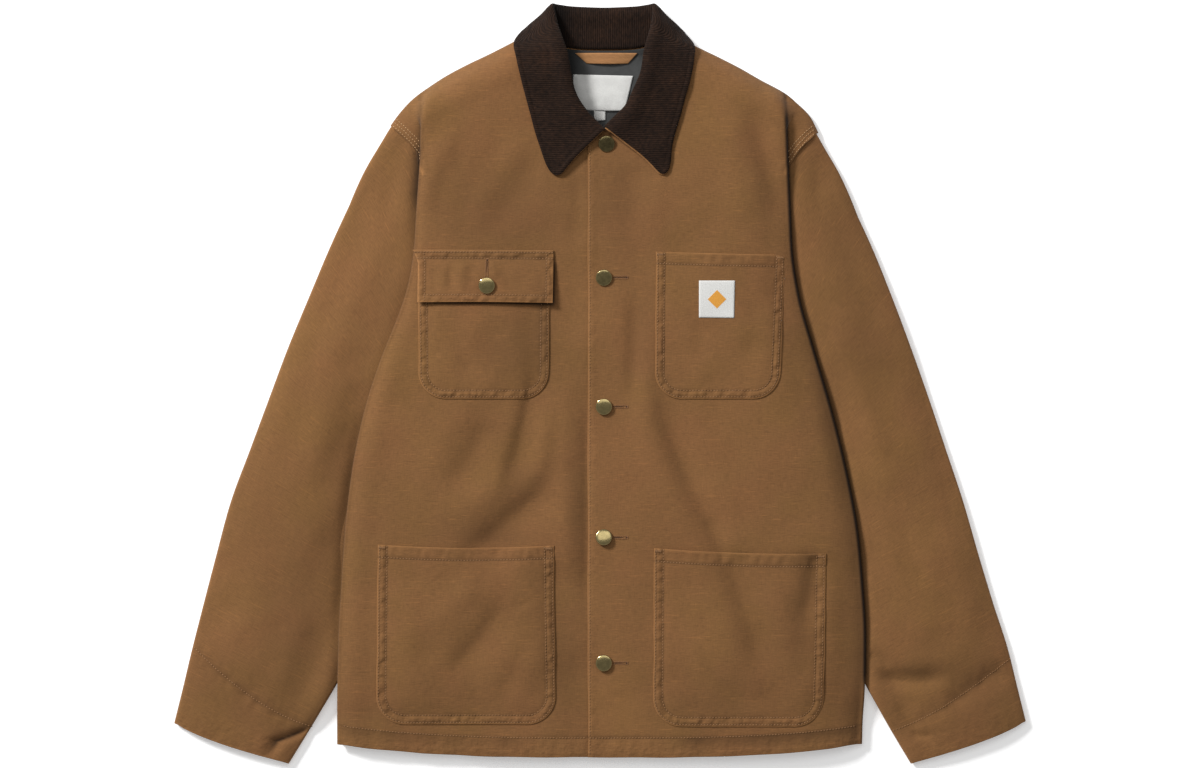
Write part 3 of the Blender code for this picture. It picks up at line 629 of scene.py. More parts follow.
# Three points of each crease in plan, how wide it is, how deep (ridges up, troughs down), and its lean:
# how much wider it is on one side than on the other.
BODY_CREASES = (
    (-64, 24, -78, -48, -98, -118, 13, -4.0, 0.3),
    (-46, -98, -86, -137, -148, -184, 20, -6.4, 0.3),
    (-84, -84, -116, -112, -156, -138, 16, 2.6, 0.0),
    (-110, -36, -128, -70, -152, -112, 16, -2.8, 0.2),
    (-134, -4, -158, -56, -182, -104, 18, 1.6, 0.0),
    (-50, -18, -60, -70, -68, -104, 10, 1.8, 0.0),
    (-198, 60, -222, -20, -236, -110, 16, 0.9, 0.0),
    (-92, -214, -120, -262, -160, -300, 19, -4.0, 0.3),
    (-120, -196, -150, -226, -186, -250, 17, 2.0, 0.0),
    (-14, -6, -13, -120, -14, -250, 6, -2.4, 0.0),
    (-20, -165, -22, -250, -20, -360, 28, -3.0, 0.0),
    (-32, 40, -34, -110, -30, -230, 11, 1.8, 0.0),
    (-40, -168, -44, -230, -40, -320, 12, -1.6, 0.0),
    (58, -6, 89, -88, 126, -172, 14, -4.4, 0.2),
    (40, 0, 60, -80, 94, -160, 15, 2.2, 0.0),
    (110, -130, 120, -156, 126, -184, 10, -2.6, 0.0),
    (128, -160, 148, -222, 172, -304, 17, -5.4, 0.2),
    (100, -190, 122, -250, 150, -310, 17, 1.9, 0.0),
    (172, -180, 184, -230, 190, -280, 14, 1.7, 0.0),
    (219, -168, 214, -206, 211, -262, 12, -4.4, 0.0),
    (33, 100, 35, 40, 31, -22, 9, -2.6, 0.0),
    (54, 96, 52, 10, 46, -60, 10, 1.0, 0.0),
    (34, 226, 33, 190, 34, 132, 16, -2.2, 0.0),
    (154, 292, 171, 226, 196, 150, 14, -3.8, 0.0),
    (126, 280, 138, 220, 152, 160, 18, 1.5, 0.0),
    (-58, 240, -84, 198, -116, 150, 18, -2.4, 0.0),
    (-92, 264, -120, 214, -150, 158, 14, -1.2, 0.0),
    (-140, 270, -170, 216, -190, 160, 13, 2.4, 0.0),
    (-62, 300, -60, 215, -62, 60, 34, -2.4, 0.0),
    (-24, 214, -22, 176, -26, 130, 9, -1.4, 0.0),
    (206, 60, 226, -40, 240, -140, 12, 1.4, 0.0),
    (244, -176, 250, -250, 246, -330, 10, -1.2, 0.2),
    (102, 66, 100, 42, 104, 20, 9, -0.9, 0.0),
)


CURVE_POINTS = 17


def smooth_line(first, middle, last):
    """Points along a curve through three places."""
    first, middle, last = np.array((first, middle, last), float)
    ts = np.linspace(0, 1, CURVE_POINTS)[:, None]
    bend = 2 * middle - (first + last) / 2
    return (1 - ts) ** 2 * first + 2 * ts * (1 - ts) * bend + ts**2 * last


def bell(distance, width):
    """1 at no distance, and hardly anything two widths off."""
    return np.exp(-((distance / width) ** 2))


def blot(xs, wide, ys, long):
    """A bell over a soft oval in plan."""
    return np.exp(-((xs / wide) ** 2) - (ys / long) ** 2)


def most(*values):
    """The largest value at each point."""
    return functools.reduce(np.maximum, values)


def unit(values):
    """Held between 0 and 1."""
    return np.clip(values, 0, 1)


def crease_heights(table, xs, ys):
    """What the creases of a table add to the height at each point."""
    xs, ys = np.atleast_1d(xs), np.atleast_1d(ys)
    total = np.zeros(xs.shape)
    for *ends, width, height, lean in table:
        path = smooth_line(*np.reshape(ends, (3, 2)))
        low, high = path.min(axis=0) - CREASE_REACH * width, path.max(axis=0) + CREASE_REACH * width
        near = (xs > low[X]) & (xs < high[X]) & (ys > low[Y]) & (ys < high[Y])
        if near.any():
            total[near] += height * crease_share(path, xs[near], ys[near], width, lean)
    return total


def crease_share(path, xs, ys, width, lean):
    """1 on a crease's line, falling to 0 beside it and towards its ends."""
    best = np.full(xs.shape, 1e9)
    side = np.zeros(xs.shape)
    along = np.zeros(xs.shape)
    for k, (start, end) in enumerate(zip(path[:-1], path[1:])):
        way = end - start
        length = np.hypot(*way)
        t = unit(((xs - start[0]) * way[0] + (ys - start[1]) * way[1]) / length**2)
        dx, dy = xs - start[0] - t * way[0], ys - start[1] - t * way[1]
        gap = np.hypot(dx, dy)
        closer = gap < best
        best = np.where(closer, gap, best)
        side = np.where(closer, np.sign(way[0] * dy - way[1] * dx), side)
        along = np.where(closer, (k + t) / (len(path) - 1), along)
    spread = width * (1 + lean * side)
    taper = unit(np.minimum(along, 1 - along) / 0.3)
    return bell(best, spread) * (0.15 + 0.85 * smooth(taper))


def wobble(xs, ys, size, seed):
    """Smooth unevenness between -1 and 1, with waves about as long as size."""
    places = zip((np.ravel(xs) / size).tolist(), (np.ravel(ys) / size).tolist())
    return np.array([noise.noise(Vector((u, v, seed))) for u, v in places]).reshape(np.shape(xs)) * 1.6


def side_roll(xs, ys):
    """The fronts swell a little and roll down towards their side creases."""
    right = xs < 0
    edge = np.where(right, np.vectorize(CREASE["right"])(ys), np.vectorize(CREASE["left"])(ys))
    inwards = np.maximum(edge - np.abs(xs), 0)
    fall = np.where(right, 3.2 * bell(inwards, 17), 8.6 * bell(inwards, 25))
    return (np.interp(xs, (-60, 160), (1.0, 4.6)) - fall) * unit((250 - ys) / 70)


def body_relief(xs, ys):
    """Creases and slack of the fronts, shared by all that is sewn on them."""
    xs, ys = np.atleast_1d(np.asarray(xs, float)), np.atleast_1d(np.asarray(ys, float))
    slack = 1.5 * wobble(xs, ys, 92, 3.1) + 0.5 * wobble(xs, ys, 34, 8.7)
    return crease_heights(BODY_CREASES, xs, ys) + slack + side_roll(xs, ys)


def smooth_along(grid, spacing, closed=False, fewest=1):
    """The rows with more between them, on smooth curves through the ones there are."""
    rows = np.concatenate((grid[-2:], grid, grid[:3])) if closed else grid
    gaps = np.maximum(np.linalg.norm(np.diff(rows[..., :3], axis=0), axis=2), 1e-3)[:, :, None]
    slopes = np.diff(rows, axis=0) / gaps
    inner = (slopes[:-1] * gaps[1:] + slopes[1:] * gaps[:-1]) / (gaps[:-1] + gaps[1:])
    ways = np.concatenate((slopes[:1], inner, slopes[-1:]))
    refined_rows = []
    for i in range(2, len(rows) - 3) if closed else range(len(rows) - 1):
        count = max(fewest, math.ceil(float(np.median(gaps[i])) / spacing))
        for t in np.arange(count) / count:
            refined_rows.append(between(t, rows[i], rows[i + 1], gaps[i], ways[i], ways[i + 1]))
    if not closed:
        refined_rows.append(rows[-1])
    return np.array(refined_rows)


def finer(grid, down, across, closed=False, fewest=1):
    """A grid refined along its columns, then along its rows."""
    grid = smooth_along(np.asarray(grid, float), down, fewest=fewest)
    return smooth_along(grid.transpose(1, 0, 2), across, closed, fewest).transpose(1, 0, 2)


def lengths_along(grid, axis):
    """Distance from the first point along each line of the grid."""
    steps = np.linalg.norm(np.diff(grid[..., :3], axis=axis), axis=2)
    first = np.zeros_like(np.take(steps, [0], axis=axis))
    return np.concatenate((first, np.cumsum(steps, axis=axis)), axis=axis)


# Where the canvas is a little darker, partly by uneven dye and partly by painted shade on slopes and creases:
# middle in plan, reach across and along, and how much.
DYE_AND_SHADE_PATCHES = (
    (-100, 180, 62, 48, 0.4), (16, 185, 30, 60, 0.36), (-315, -245, 42, 84, 0.4), (-130, -154, 34, 16, 0.3),
    (250, 150, 34, 100, 0.3), (205, -176, 26, 7, 0.4), (-400, -300, 44, 60, 0.26), (-320, -350, 60, 26, 0.12),
    (390, -318, 56, 50, 0.4), (270, 30, 40, 60, 0.25), (-58, 62, 7, 50, 0.4), (-74, 42, 26, 34, 0.42),
    (-34, -285, 16, 46, 0.35), (-24, -130, 9, 44, 0.35), (165, -215, 26, 26, 0.24), (172, -275, 16, 24, 0.22),
    (214, -203, 11, 24, 0.4), (-95, -156, 26, 9, 0.3), (330, -292, 34, 12, 0.3), (42, 55, 12, 44, 0.3),
    (200, -255, 16, 40, 0.25), (-80, -92, 17, 30, 0.25), (-357, -118, 40, 60, 0.18), (-106, 30, 22, 26, 0.3),
)


def dye_and_shade_patches(xs, ys):
    """Soft darker patches of dye and painted shade, which run on from piece to piece."""
    return sum(much * blot(xs - x, wide, ys - y, long) for x, y, wide, long, much in DYE_AND_SHADE_PATCHES)


def sewn(name, slot, grid, thickness, finish, weave, marks, closed=False, turned=False):
    """One cloth piece on the frame, from a grid of its middle layer: a thin shell with its weave as a UV map.

    weave: (across, along) distances in the cloth for each point; marks: named values for each point;
    closed: each row is a ring; turned: the grid runs the other way round.
    """
    rows, across = grid.shape[:2]
    grid = np.concatenate((grid[..., :2], np.maximum(grid[..., 2:3], thickness / 2)), axis=2)
    index = np.arange(rows * across).reshape(rows, across)
    near = np.roll(index, -1, axis=1) if closed else index[:, 1:]
    far = index if closed else index[:, :-1]
    faces = np.stack((far[:-1], near[:-1], near[1:], far[1:]), axis=-1).reshape(-1, 4)
    mesh = bpy.data.meshes.new(name)
    mesh.from_pydata((grid.reshape(-1, 3) * MM).tolist(), [], faces.tolist())
    wide = np.stack([w.astype(float) for w in weave], axis=-1) * MM
    first, last = wide[:, :-1], wide[:, 1:]
    if closed:
        seam = wide[:, -1:] + np.abs(wide[:, :1] - wide[:, 1:2])
        first, last = wide, np.concatenate((last, seam), axis=1)
    corners = np.stack((first[:-1], last[:-1], last[1:], first[1:]), axis=2).reshape(-1, 2)
    layer = mesh.uv_layers.new(name="weave")
    layer.data.foreach_set("uv", corners.astype(np.float32).ravel())
    marks = {"edge": 0.0, "pucker": 0.0, "soil": 0.0, **marks}
    marks["soil"] = marks["soil"] + dye_and_shade_patches(grid[..., X], grid[..., Y])
    for mark, values in marks.items():
        data = mesh.attributes.new(mark, "FLOAT", "POINT").data
        values = np.broadcast_to(unit(values), (rows, across))
        data.foreach_set("value", values.astype(np.float32).ravel())
    mesh.shade_smooth()
    if turned:
        mesh.flip_normals()
    mesh.materials.append(finish)
    piece = bpy.data.objects.new("sewn_" + name, mesh)
    bpy.context.scene.collection.objects.link(piece)
    wall = piece.modifiers.new("wall", "SOLIDIFY")
    wall.thickness = thickness * MM
    wall.offset = 0.0
    return placed(piece, slot, name)


def placed(piece, slot, *nodes):
    """Hangs a finished piece on the frame in place of its CAD nodes."""
    if nodes:
        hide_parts(*nodes)
    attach(piece, "root")
    return piece


def tree_of(*pieces):
    """A search tree over what the pieces look like with their walls on."""
    bpy.context.view_layer.update()
    graph = bpy.context.evaluated_depsgraph_get()
    return [BVHTree.FromObject(piece, graph) for piece in pieces]


def on_top(trees, x, y):
    """The highest point of the cloth above a place on the ground, and its normal, in millimetres."""
    best = None
    for tree in trees:
        spot, normal, _, _ = tree.ray_cast(Vector((x * MM, y * MM, 0.5)), Vector((0, 0, -1)))
        if spot is not None and (best is None or spot.z > best[0].z):
            best = (spot, normal)
    if best is None:
        raise ValueError(f"no cloth at {x:.1f}, {y:.1f}")
    return np.array(best[0]) / MM, np.array(best[1])


# ---- Finishes ----


class Nodes:
    """Short ways to add and link the nodes of one material."""

    def __init__(self, name):
        self.material = bpy.data.materials.new(name)
        self.material.use_nodes = True
        self.tree = self.material.node_tree
        self.shader = self.tree.nodes["Principled BSDF"]

    def add(self, kind, inputs=(), **settings):
        node = self.tree.nodes.new(kind)
        for key, value in settings.items():
            setattr(node, key, value)
        for key, value in dict(inputs).items():
            self.feed(node.inputs[key], value)
        return node

    def feed(self, socket, value):
        if isinstance(value, bpy.types.NodeSocket):
            self.tree.links.new(value, socket)
        elif socket.type == "RGBA" and len(value) == 3:
            socket.default_value = (*value, 1.0)
        else:
            socket.default_value = value

    def math(self, operation, *values, clamp=False):
        return self.add("ShaderNodeMath", enumerate(values), operation=operation, use_clamp=clamp).outputs[0]

    def noise(self, vector, scale, detail=2.0, roughness=0.5):
        inputs = {"Vector": vector, "Scale": scale, "Detail": detail, "Roughness": roughness}
        return self.add("ShaderNodeTexNoise", inputs).outputs["Fac"]

    def stretch(self, vector, scale, turn=0.0):
        inputs = {"Vector": vector, "Scale": scale, "Rotation": (0, 0, turn)}
        return self.add("ShaderNodeMapping", inputs).outputs["Vector"]

    def split(self, vector):
        return self.add("ShaderNodeSeparateXYZ", {"Vector": vector}).outputs

    def ramp(self, value, *stops):
        """Shades at places along a value; a single number is a grey."""
        node = self.add("ShaderNodeValToRGB", {"Fac": value})
        steps = node.color_ramp.elements
        while len(steps) < len(stops):
            steps.new(0.5)
        for stop, (place, shade) in zip(steps, stops):
            stop.position = place
            stop.color = (*(shade if isinstance(shade, tuple) else (shade,) * 3), 1)
        return node.outputs["Color"]

    def blend(self, share, first, second, way="MIX"):
        node = self.add("ShaderNodeMix", data_type="RGBA", blend_type=way, clamp_factor=True)
        for name, kind, value in (("Factor", "VALUE", share), ("A", "RGBA", first), ("B", "RGBA", second)):
            wanted = name, kind, True
            self.feed(next(s for s in node.inputs if (s.name, s.type, s.enabled) == wanted), value)
        return next(s for s in node.outputs if s.type == "RGBA" and s.enabled)

    def tone(self, share, base, value, *stops):
        """The base times the shades of a ramp."""
        return self.blend(share, base, self.ramp(value, *stops), "MULTIPLY")

    def mark(self, name):
        return self.add("ShaderNodeAttribute", attribute_name=name).outputs["Fac"]

    def weave(self):
        return self.add("ShaderNodeUVMap", uv_map="weave").outputs["UV"]

    def place(self):
        return self.add("ShaderNodeTexCoord").outputs["Object"]

    def bump(self, height, distance, strength, under=None):
        inputs = {"Height": height, "Distance": distance, "Strength": strength}
        if under is not None:
            inputs["Normal"] = under
        return self.add("ShaderNodeBump", inputs).outputs["Normal"]

    def surface(self, base, roughness, normal, **uniform):
        """Feeds the shader and gives the finished material; uniform names sockets with _ for a space."""
        inputs = {"Base Color": base, "Roughness": roughness, "Normal": normal}
        inputs |= {name.replace("_", " "): value for name, value in uniform.items()}
        for name, value in inputs.items():
            self.feed(self.shader.inputs[name], value)
        return self.material


def shade_of(colour, *factors):
    """The colour times one factor, or times one for each of red, green and blue."""
    factors = factors if len(factors) == 3 else factors * 3
    return tuple(min(1.0, c * k) for c, k in zip(colour, factors))


def weave_lines(n, cloth, pitch):
    """Fine over and under threads, as a value from 0 to 1."""
    turns = 2 * math.pi / (pitch * MM)
    across, along, _ = n.split(n.stretch(cloth, (turns, turns, 1)))
    return n.math("MULTIPLY_ADD", n.math("MULTIPLY", n.math("SINE", across), n.math("SINE", along)), 0.5, 0.5)


def make_canvas(name, colour, wear=1.0):
    """Duck canvas: plain weave with slubs, uneven dye, pale worn edges and puckered seams, with painted shade
    in creases, rows and gaps and a few painted highlights.
    """
    n = Nodes(name)
    place, cloth = n.place(), n.weave()
    slubs = n.noise(n.stretch(cloth, (0.10, 1.0, 1.0)), 1500, 2.0, 0.6)
    slubs_along = n.noise(n.stretch(cloth, (1.0, 0.07, 1.0)), 1300, 2.0, 0.6)
    long_slubs = n.noise(n.stretch(cloth, (0.05, 1.0, 1.0)), 700, 1.0)
    dye, hue = n.noise(place, 11, 3.0), n.noise(n.stretch(place, (1, 1, 1), 0.6), 17)
    grain = n.noise(place, 820, 3.0, 0.7)
    base = n.ramp(dye, (0.30, shade_of(colour, 0.90)), (0.5, colour), (0.72, shade_of(colour, 1.09)))
    cool, warm = shade_of(colour, 0.94, 0.99, 0.86), shade_of(colour, 1.05, 0.98, 1.04)
    base = n.blend(0.5, base, n.ramp(hue, (0.32, cool), (0.5, colour), (0.68, warm)))
    base = n.tone(0.75, base, slubs, (0.33, 0.80), (0.5, 1.0), (0.68, (1.16, 1.15, 1.13)))
    base = n.tone(0.6, base, slubs_along, (0.33, 0.86), (0.52, 1.0), (0.70, (1.10, 1.09, 1.08)))
    base = n.tone(0.7, base, long_slubs, (0.27, 0.8), (0.35, 1.0), (0.64, 1.0), (0.71, (1.3, 1.26, 1.2)))
    base = n.tone(0.8, base, grain, (0.3, 0.93), (0.55, 1.0), (0.75, 1.06))
    # Pale worn edges; on the flap's lower edge and at the placket's foot the edge mark is a painted
    # highlight.
    worn = n.math("MULTIPLY", n.mark("edge"), n.math("MULTIPLY_ADD", grain, 1.1, 0.35), clamp=True)
    pale = shade_of(shade_of(colour, 1.95), 1.0, 0.98, 0.95)
    base = n.blend(n.math("MULTIPLY", worn, 0.8 * wear), base, pale)
    # Darker by uneven dye, and by painted shade in stitched rows, creases and slopes.
    base = n.blend(n.math("MULTIPLY", n.mark("soil"), 0.8), base, shade_of(colour, 0.42))
    # Painted shade in crevices and cuff folds, and painted shadow in the gaps under loose edges.
    off = n.mark("gap")
    fall = n.math("EXPONENT", n.math("MULTIPLY", n.math("MULTIPLY", off, off), -(GAP_REACH**2)))
    slit = n.math("MULTIPLY", n.mark("gap_dark"), fall)
    base = n.blend(n.math("MAXIMUM", n.mark("shade"), slit), base, shade_of(colour, 0.05))
    threads = n.math("MULTIPLY", weave_lines(n, cloth, 0.95), 0.35)
    height = n.math("ADD", threads, n.math("MULTIPLY", slubs, 0.9))
    height = n.math("ADD", height, n.math("MULTIPLY", slubs_along, 0.5))
    fine = n.bump(height, 0.00022, 0.75)
    seam = n.bump(n.math("MULTIPLY", n.noise(cloth, 150), n.mark("pucker")), 0.0022, 0.8, fine)
    slack = n.bump(n.noise(place, 46, 3.0, 0.55), 0.0012, 0.55, seam)
    rough = n.math("MULTIPLY_ADD", grain, 0.12, 0.84)
    return n.surface(base, rough, slack, Sheen_Weight=0.06, Sheen_Roughness=0.5, Specular_IOR_Level=0.22)


def make_corduroy(name, colour, pitch):
    """Corduroy: rounded wales across the collar's length, with pile that breaks up the light."""
    n = Nodes(name)
    place, cloth = n.place(), n.weave()
    drift = n.math("MULTIPLY", n.math("SUBTRACT", n.noise(cloth, 90), 0.5), 2.6)
    wave = n.math("SINE", n.math("MULTIPLY_ADD", n.split(cloth)[X], 2 * math.pi / (pitch * MM), drift))
    wale = n.math("MULTIPLY_ADD", wave, 0.5, 0.5)
    pile = n.noise(n.stretch(cloth, (1.0, 0.35, 1.0)), 1500, 3.0, 0.7)
    mottle = n.noise(n.stretch(cloth, (1.0, 0.45, 1.0)), 430, 3.0, 0.7)
    low, middle, high = (shade_of(colour, k) for k in (0.7, 0.94, 1.2))
    base = n.ramp(wale, (0.05, low), (0.5, middle), (1.0, high))
    rubbed = (0.3, (0.66, 0.66, 0.68)), (0.55, 1.0), (0.75, (1.45, 1.36, 1.28))
    base = n.tone(0.8, base, n.noise(place, 44, 3.0, 0.6), *rubbed)
    base = n.tone(0.8, base, mottle, (0.34, 0.45), (0.66, (1.75, 1.7, 1.6)))
    base = n.tone(0.7, base, pile, (0.3, 0.7), (0.7, 1.3))
    # Painted shadow on the stand from the left leaf's roll.
    base = n.blend(n.mark("shade"), base, shade_of(colour, 0.1))
    ribs = n.bump(n.math("ADD", wale, n.math("MULTIPLY", pile, 0.35)), 0.0006, 0.7)
    soft = n.bump(n.noise(place, 60), 0.0012, 0.5, ribs)
    rough = n.math("MULTIPLY_ADD", pile, 0.1, 0.85)
    return n.surface(base, rough, soft, Sheen_Weight=0.055, Sheen_Roughness=0.4, Specular_IOR_Level=0.15)


def make_plain_cloth(name, colour, pitch, unevenness, roughness=0.8):
    """Lining and label cloth: a fine even weave with slight creasing."""
    n = Nodes(name)
    place = n.place()
    crumple, grain = n.noise(place, 95, 3.0, 0.55), n.noise(place, 1200, 2.0, 0.6)
    base = n.ramp(crumple, (0.3, shade_of(colour, 1 - unevenness)), (0.7, shade_of(colour, 1 + unevenness)))
    base = n.tone(0.8, base, grain, (0.3, 0.9), (0.7, 1.06))
    # Painted shade where the collar shadows the neck lining.
    base = n.blend(n.mark("shade"), base, shade_of(colour, 0.1))
    fine = n.bump(weave_lines(n, n.weave(), pitch), 0.00012, 0.6)
    rough = n.math("MULTIPLY_ADD", grain, 0.1, roughness - 0.05)
    return n.surface(base, rough, n.bump(crumple, 0.0012, 0.5, fine), Specular_IOR_Level=0.25)


def make_patch_cloth(name, colour, mark_colour, centre, reach):
    """Woven patch: pale ground with one plain diamond."""
    n = Nodes(name)
    off = [n.math("ABSOLUTE", n.math("SUBTRACT", at, c * MM)) for at, c in zip(n.split(n.place()), centre)]
    outside = n.math("SUBTRACT", n.math("ADD", *off), reach * MM)
    inside = n.ramp(n.math("MULTIPLY_ADD", outside, -1500, 0.5), (0.0, 0), (1.0, 1))
    cloth = n.weave()
    grain = n.noise(n.stretch(cloth, (0.3, 1, 1)), 1800, 2.0, 0.6)
    base = n.tone(0.7, n.blend(inside, colour, mark_colour), grain, (0.3, 0.9), (0.7, 1.05))
    threads = n.math("MULTIPLY", weave_lines(n, cloth, 0.5), 0.5)
    height = n.math("ADD", n.math("MULTIPLY", inside, 0.8), threads)
    rough = n.math("MULTIPLY_ADD", grain, 0.15, 0.55)
    return n.surface(base, rough, n.bump(height, 0.0002, 0.7), Sheen_Weight=0.1)


def make_thread(name, colour):
    """Sewing thread: twisted plies with a slight gloss."""
    n = Nodes(name)
    place = n.place()
    twist = n.noise(n.stretch(place, (1.0, 1.0, 1.0), 0.5), 2600, 2.0, 0.6)
    base = n.ramp(twist, (0.3, shade_of(colour, 0.72)), (0.7, shade_of(colour, 1.25)))
    base = n.tone(0.8, base, n.noise(place, 120), (0.3, 0.85), (0.7, (1.12, 1.12, 1.1)))
    rough = n.math("MULTIPLY_ADD", twist, 0.2, 0.5)
    return n.surface(base, rough, n.bump(twist, 0.0001, 0.5), Specular_IOR_Level=0.3)


def make_brass(name, colour):
    """Antique brass: dark in the hollows, rubbed bright on the high parts, finely pitted."""
    n = Nodes(name)
    place = n.place()
    tarnish = n.math("MULTIPLY", n.math("SUBTRACT", n.noise(place, 260, 3.0, 0.6), 0.5), 0.5)
    rubbed = n.math("ADD", n.mark("rub"), tarnish, clamp=True)
    bright = shade_of(shade_of(colour, 1.6), 1.0, 0.97, 1.0)
    base = n.ramp(rubbed, (0.1, shade_of(colour, 0.3)), (0.5, colour), (0.95, bright))
    rough = n.math("MULTIPLY_ADD", rubbed, -0.08, 0.23)
    pits = n.bump(n.noise(place, 1500, 3.0, 0.6), 0.00005, 0.5)
    return n.surface(base, rough, pits, Metallic=0.95)


# ---- Body and sleeves ----

CANVAS_WALL = 1.3
SLEEVE_WALL = 1.2
UPPER_POINTS = 10
HEM_ROW = 20.0
HEM_LINES = (HEM_ROW - 1.4, HEM_ROW, HEM_ROW + 1.4)
PLACKET_ROW = 2.2
FAR = 99.0
# A gap's mark holds the distance from it up to this many widths.
GAP_REACH = 4
# The painted shade in the crevice beside each side's crease: height along the jacket, how dark it is and how
# wide.
CREVICE_SHADES = {
    "right": ((-330, 0.1, 6), (-200, 0.06, 6), (-90, 0.25, 5), (-20, 0.1, 4), (60, 0.0, 3), (120, 0.1, 3),
              (172, 0.35, 6), (194, 0.82, 8), (236, 0.85, 8), (254, 0.3, 4), (270, 0.0, 3)),
    "left": ((-330, 1.0, 2.6), (-200, 1.0, 3.4), (-50, 1.0, 3.4), (90, 1.0, 3.4), (150, 1.0, 3.0),
             (200, 1.0, 2.5), (270, 0.97, 2.1), (294, 0.0, 1.4)),
}


def with_channels(rows, *channels):
    """The grid with more values for each point."""
    return np.concatenate((np.asarray(rows, float), np.stack(channels, axis=-1)), axis=2)


def numbered(rows):
    """The grid with each point's column as a fourth value."""
    rows = np.asarray(rows, float)
    return with_channels(rows, np.broadcast_to(np.arange(rows.shape[1], dtype=float), rows.shape[:2]))


def border_lines(grid, axis, distances, at_end=False):
    """The grid with more lines close to one border, at these distances from it."""
    lines = grid if axis == 0 else grid.transpose(1, 0, 2)
    lines = lines[::-1] if at_end else lines
    gap = float(np.median(np.linalg.norm(lines[1, :, :3] - lines[0, :, :3], axis=1)))
    spots = sorted({0.0, *(d / gap for d in distances)})
    spots += [k for k in range(math.ceil(spots[-1] + 0.4), len(lines))]
    made = [lines[int(s)] + (lines[min(int(s) + 1, len(lines) - 1)] - lines[int(s)]) * (s % 1) for s in spots]
    lines = np.array(made)[::-1] if at_end else np.array(made)
    return lines if axis == 0 else lines.transpose(1, 0, 2)


def lip(distance, drop=0.6, width=1.2):
    """How far a folded edge rounds down."""
    return -drop * bell(distance, width)


def furrow(distance, at, depth=0.4, width=1.3):
    """A stitched row's groove, at a distance from an edge."""
    return -depth * bell(distance - at, width)


def puckers(along, distance, start, end, size, seed, height):
    """Small ridges across a band between two rows of stitches."""
    share = unit((distance - start) / (end - start))
    wave = wobble(along, distance / 5, size, seed)
    return height * wave * np.sin(np.pi * share)


def above_hem(xs, ys):
    """How far the places lie above the hem's edge."""
    return ys - np.vectorize(hem_y)(xs)


def hem_marks(xs, up):
    """Wear along the hem's edge, puckers in its band and shade in its stitched row."""
    row = np.interp(xs, (-120, 60), (0.55, 1.0)) * bell(up - HEM_ROW, 1.1)
    return {"edge": 0.7 * bell(up, 1.6), "pucker": bell(up - HEM_ROW / 2, 9), "soil": row}


def hem_shape(xs, ys):
    """The hem's folded band: rounded edge, one stitched row and slight upright puckers."""
    up = above_hem(xs, ys)
    return (
        lip(up)
        + furrow(up, HEM_ROW, 0.35)
        + puckers(xs, up, 1.0, HEM_ROW + 2, 7.0, 5.5, 1.0)
        + 0.5 * bell(up, 24) * wobble(xs, ys / 6, 17, 2.2)
    )


def front_piece(side, finish):
    """One front: panel, crease and the part folded under, with its placket and hem."""
    left = side == "left"
    grid = finer(numbered(front_point_rows(side)), 3.4, 3.2, fewest=3)
    grid = border_lines(grid, 0, (0.6, 1.4, 2.6, 4.4, *HEM_LINES))
    if left:
        grid = border_lines(grid, 1, (0.5, 1.1, 1.8, 2.6, 3.6))
    xs, ys, column = grid[..., X], grid[..., Y], grid[..., 3]
    upper = 1 - unit((column - (UPPER_POINTS - 1)) / 4)
    loose = unit((np.vectorize(SHOULDER[side])(np.abs(xs)) - ys) / 30)
    from_edge = (xs - PLACKET_X) if left else np.full(xs.shape, FAR)
    up = above_hem(xs, ys)
    grid[..., Z] += upper * (body_relief(xs, ys) * loose + hem_shape(xs, ys))
    grid[..., Z] += upper * (lip(from_edge) + furrow(from_edge, PLACKET_ROW, 0.25, 0.9))
    grid[..., Z] += upper * (puckers(ys, from_edge, 0.0, 9.0, 9.0, 6.1, 0.25) if left else front_stop(xs))
    grid[..., :2] += edge_waver(xs, ys, up, from_edge)
    weave = (lengths_along(grid, 1) + (PLACKET_X if left else 0), ys)
    seam = from_armhole(side, xs, ys)
    rows = furrow(seam, 2.4, 0.4, 0.9) + furrow(seam, 8.0, 0.4, 1.0)
    grid[..., Z] += upper * (rows + puckers(ys, seam, 0, 9, 5, 8.8, 0.8))
    marks = hem_marks(xs, up)
    marks["edge"] = most(marks["edge"], 0.45 * bell(from_edge, 1.3), upper * bell(seam, 1.5))
    marks["pucker"] = most(marks["pucker"], 0.6 * bell(from_edge - 3, 5))
    # Painted shade of the crevice, on the part folded under and on the left front's last few millimetres.
    dark, off = crevice_shade(side, xs, ys)
    inwards = np.maximum(np.vectorize(CREASE[side])(ys) - np.abs(xs), 0)
    turned_in = most(1 - upper, bell(inwards, 2.6) if left else 0.0)
    marks["shade"] = np.maximum(dark, 0.55) * bell(off, 1) * turned_in * unit((ys + 312) / 14)
    if left:
        # Painted highlight where the placket's foot bulges towards the light.
        marks["edge"] = most(marks["edge"], 0.24 * blot(xs - 18, 28, ys + 332, 36))
        # Painted shade where the left front rolls down towards its crease.
        marks["soil"] = marks["soil"] + 0.5 * bell(inwards, 20) * unit((60 - ys) / 90)
    else:
        # Painted shadow under the chest flap's loose edges.
        dark, off = flap_gap_shade(xs, ys)
        marks |= {"gap_dark": upper * dark, "gap": off / GAP_REACH}
    return sewn("front_" + side, "canvas", grid, CANVAS_WALL, finish, weave, marks, turned=not left)


def from_armhole(side, xs, ys):
    """About how far the places on a front lie inside its armhole seam, where that shows."""
    levels = np.linspace(205, 300, 40)
    seam = np.interp(ys, levels, [front_tail(side, y)[-1, 0] for y in levels])
    return (seam - np.abs(xs)) * 0.8 + FAR * (ys < 214)


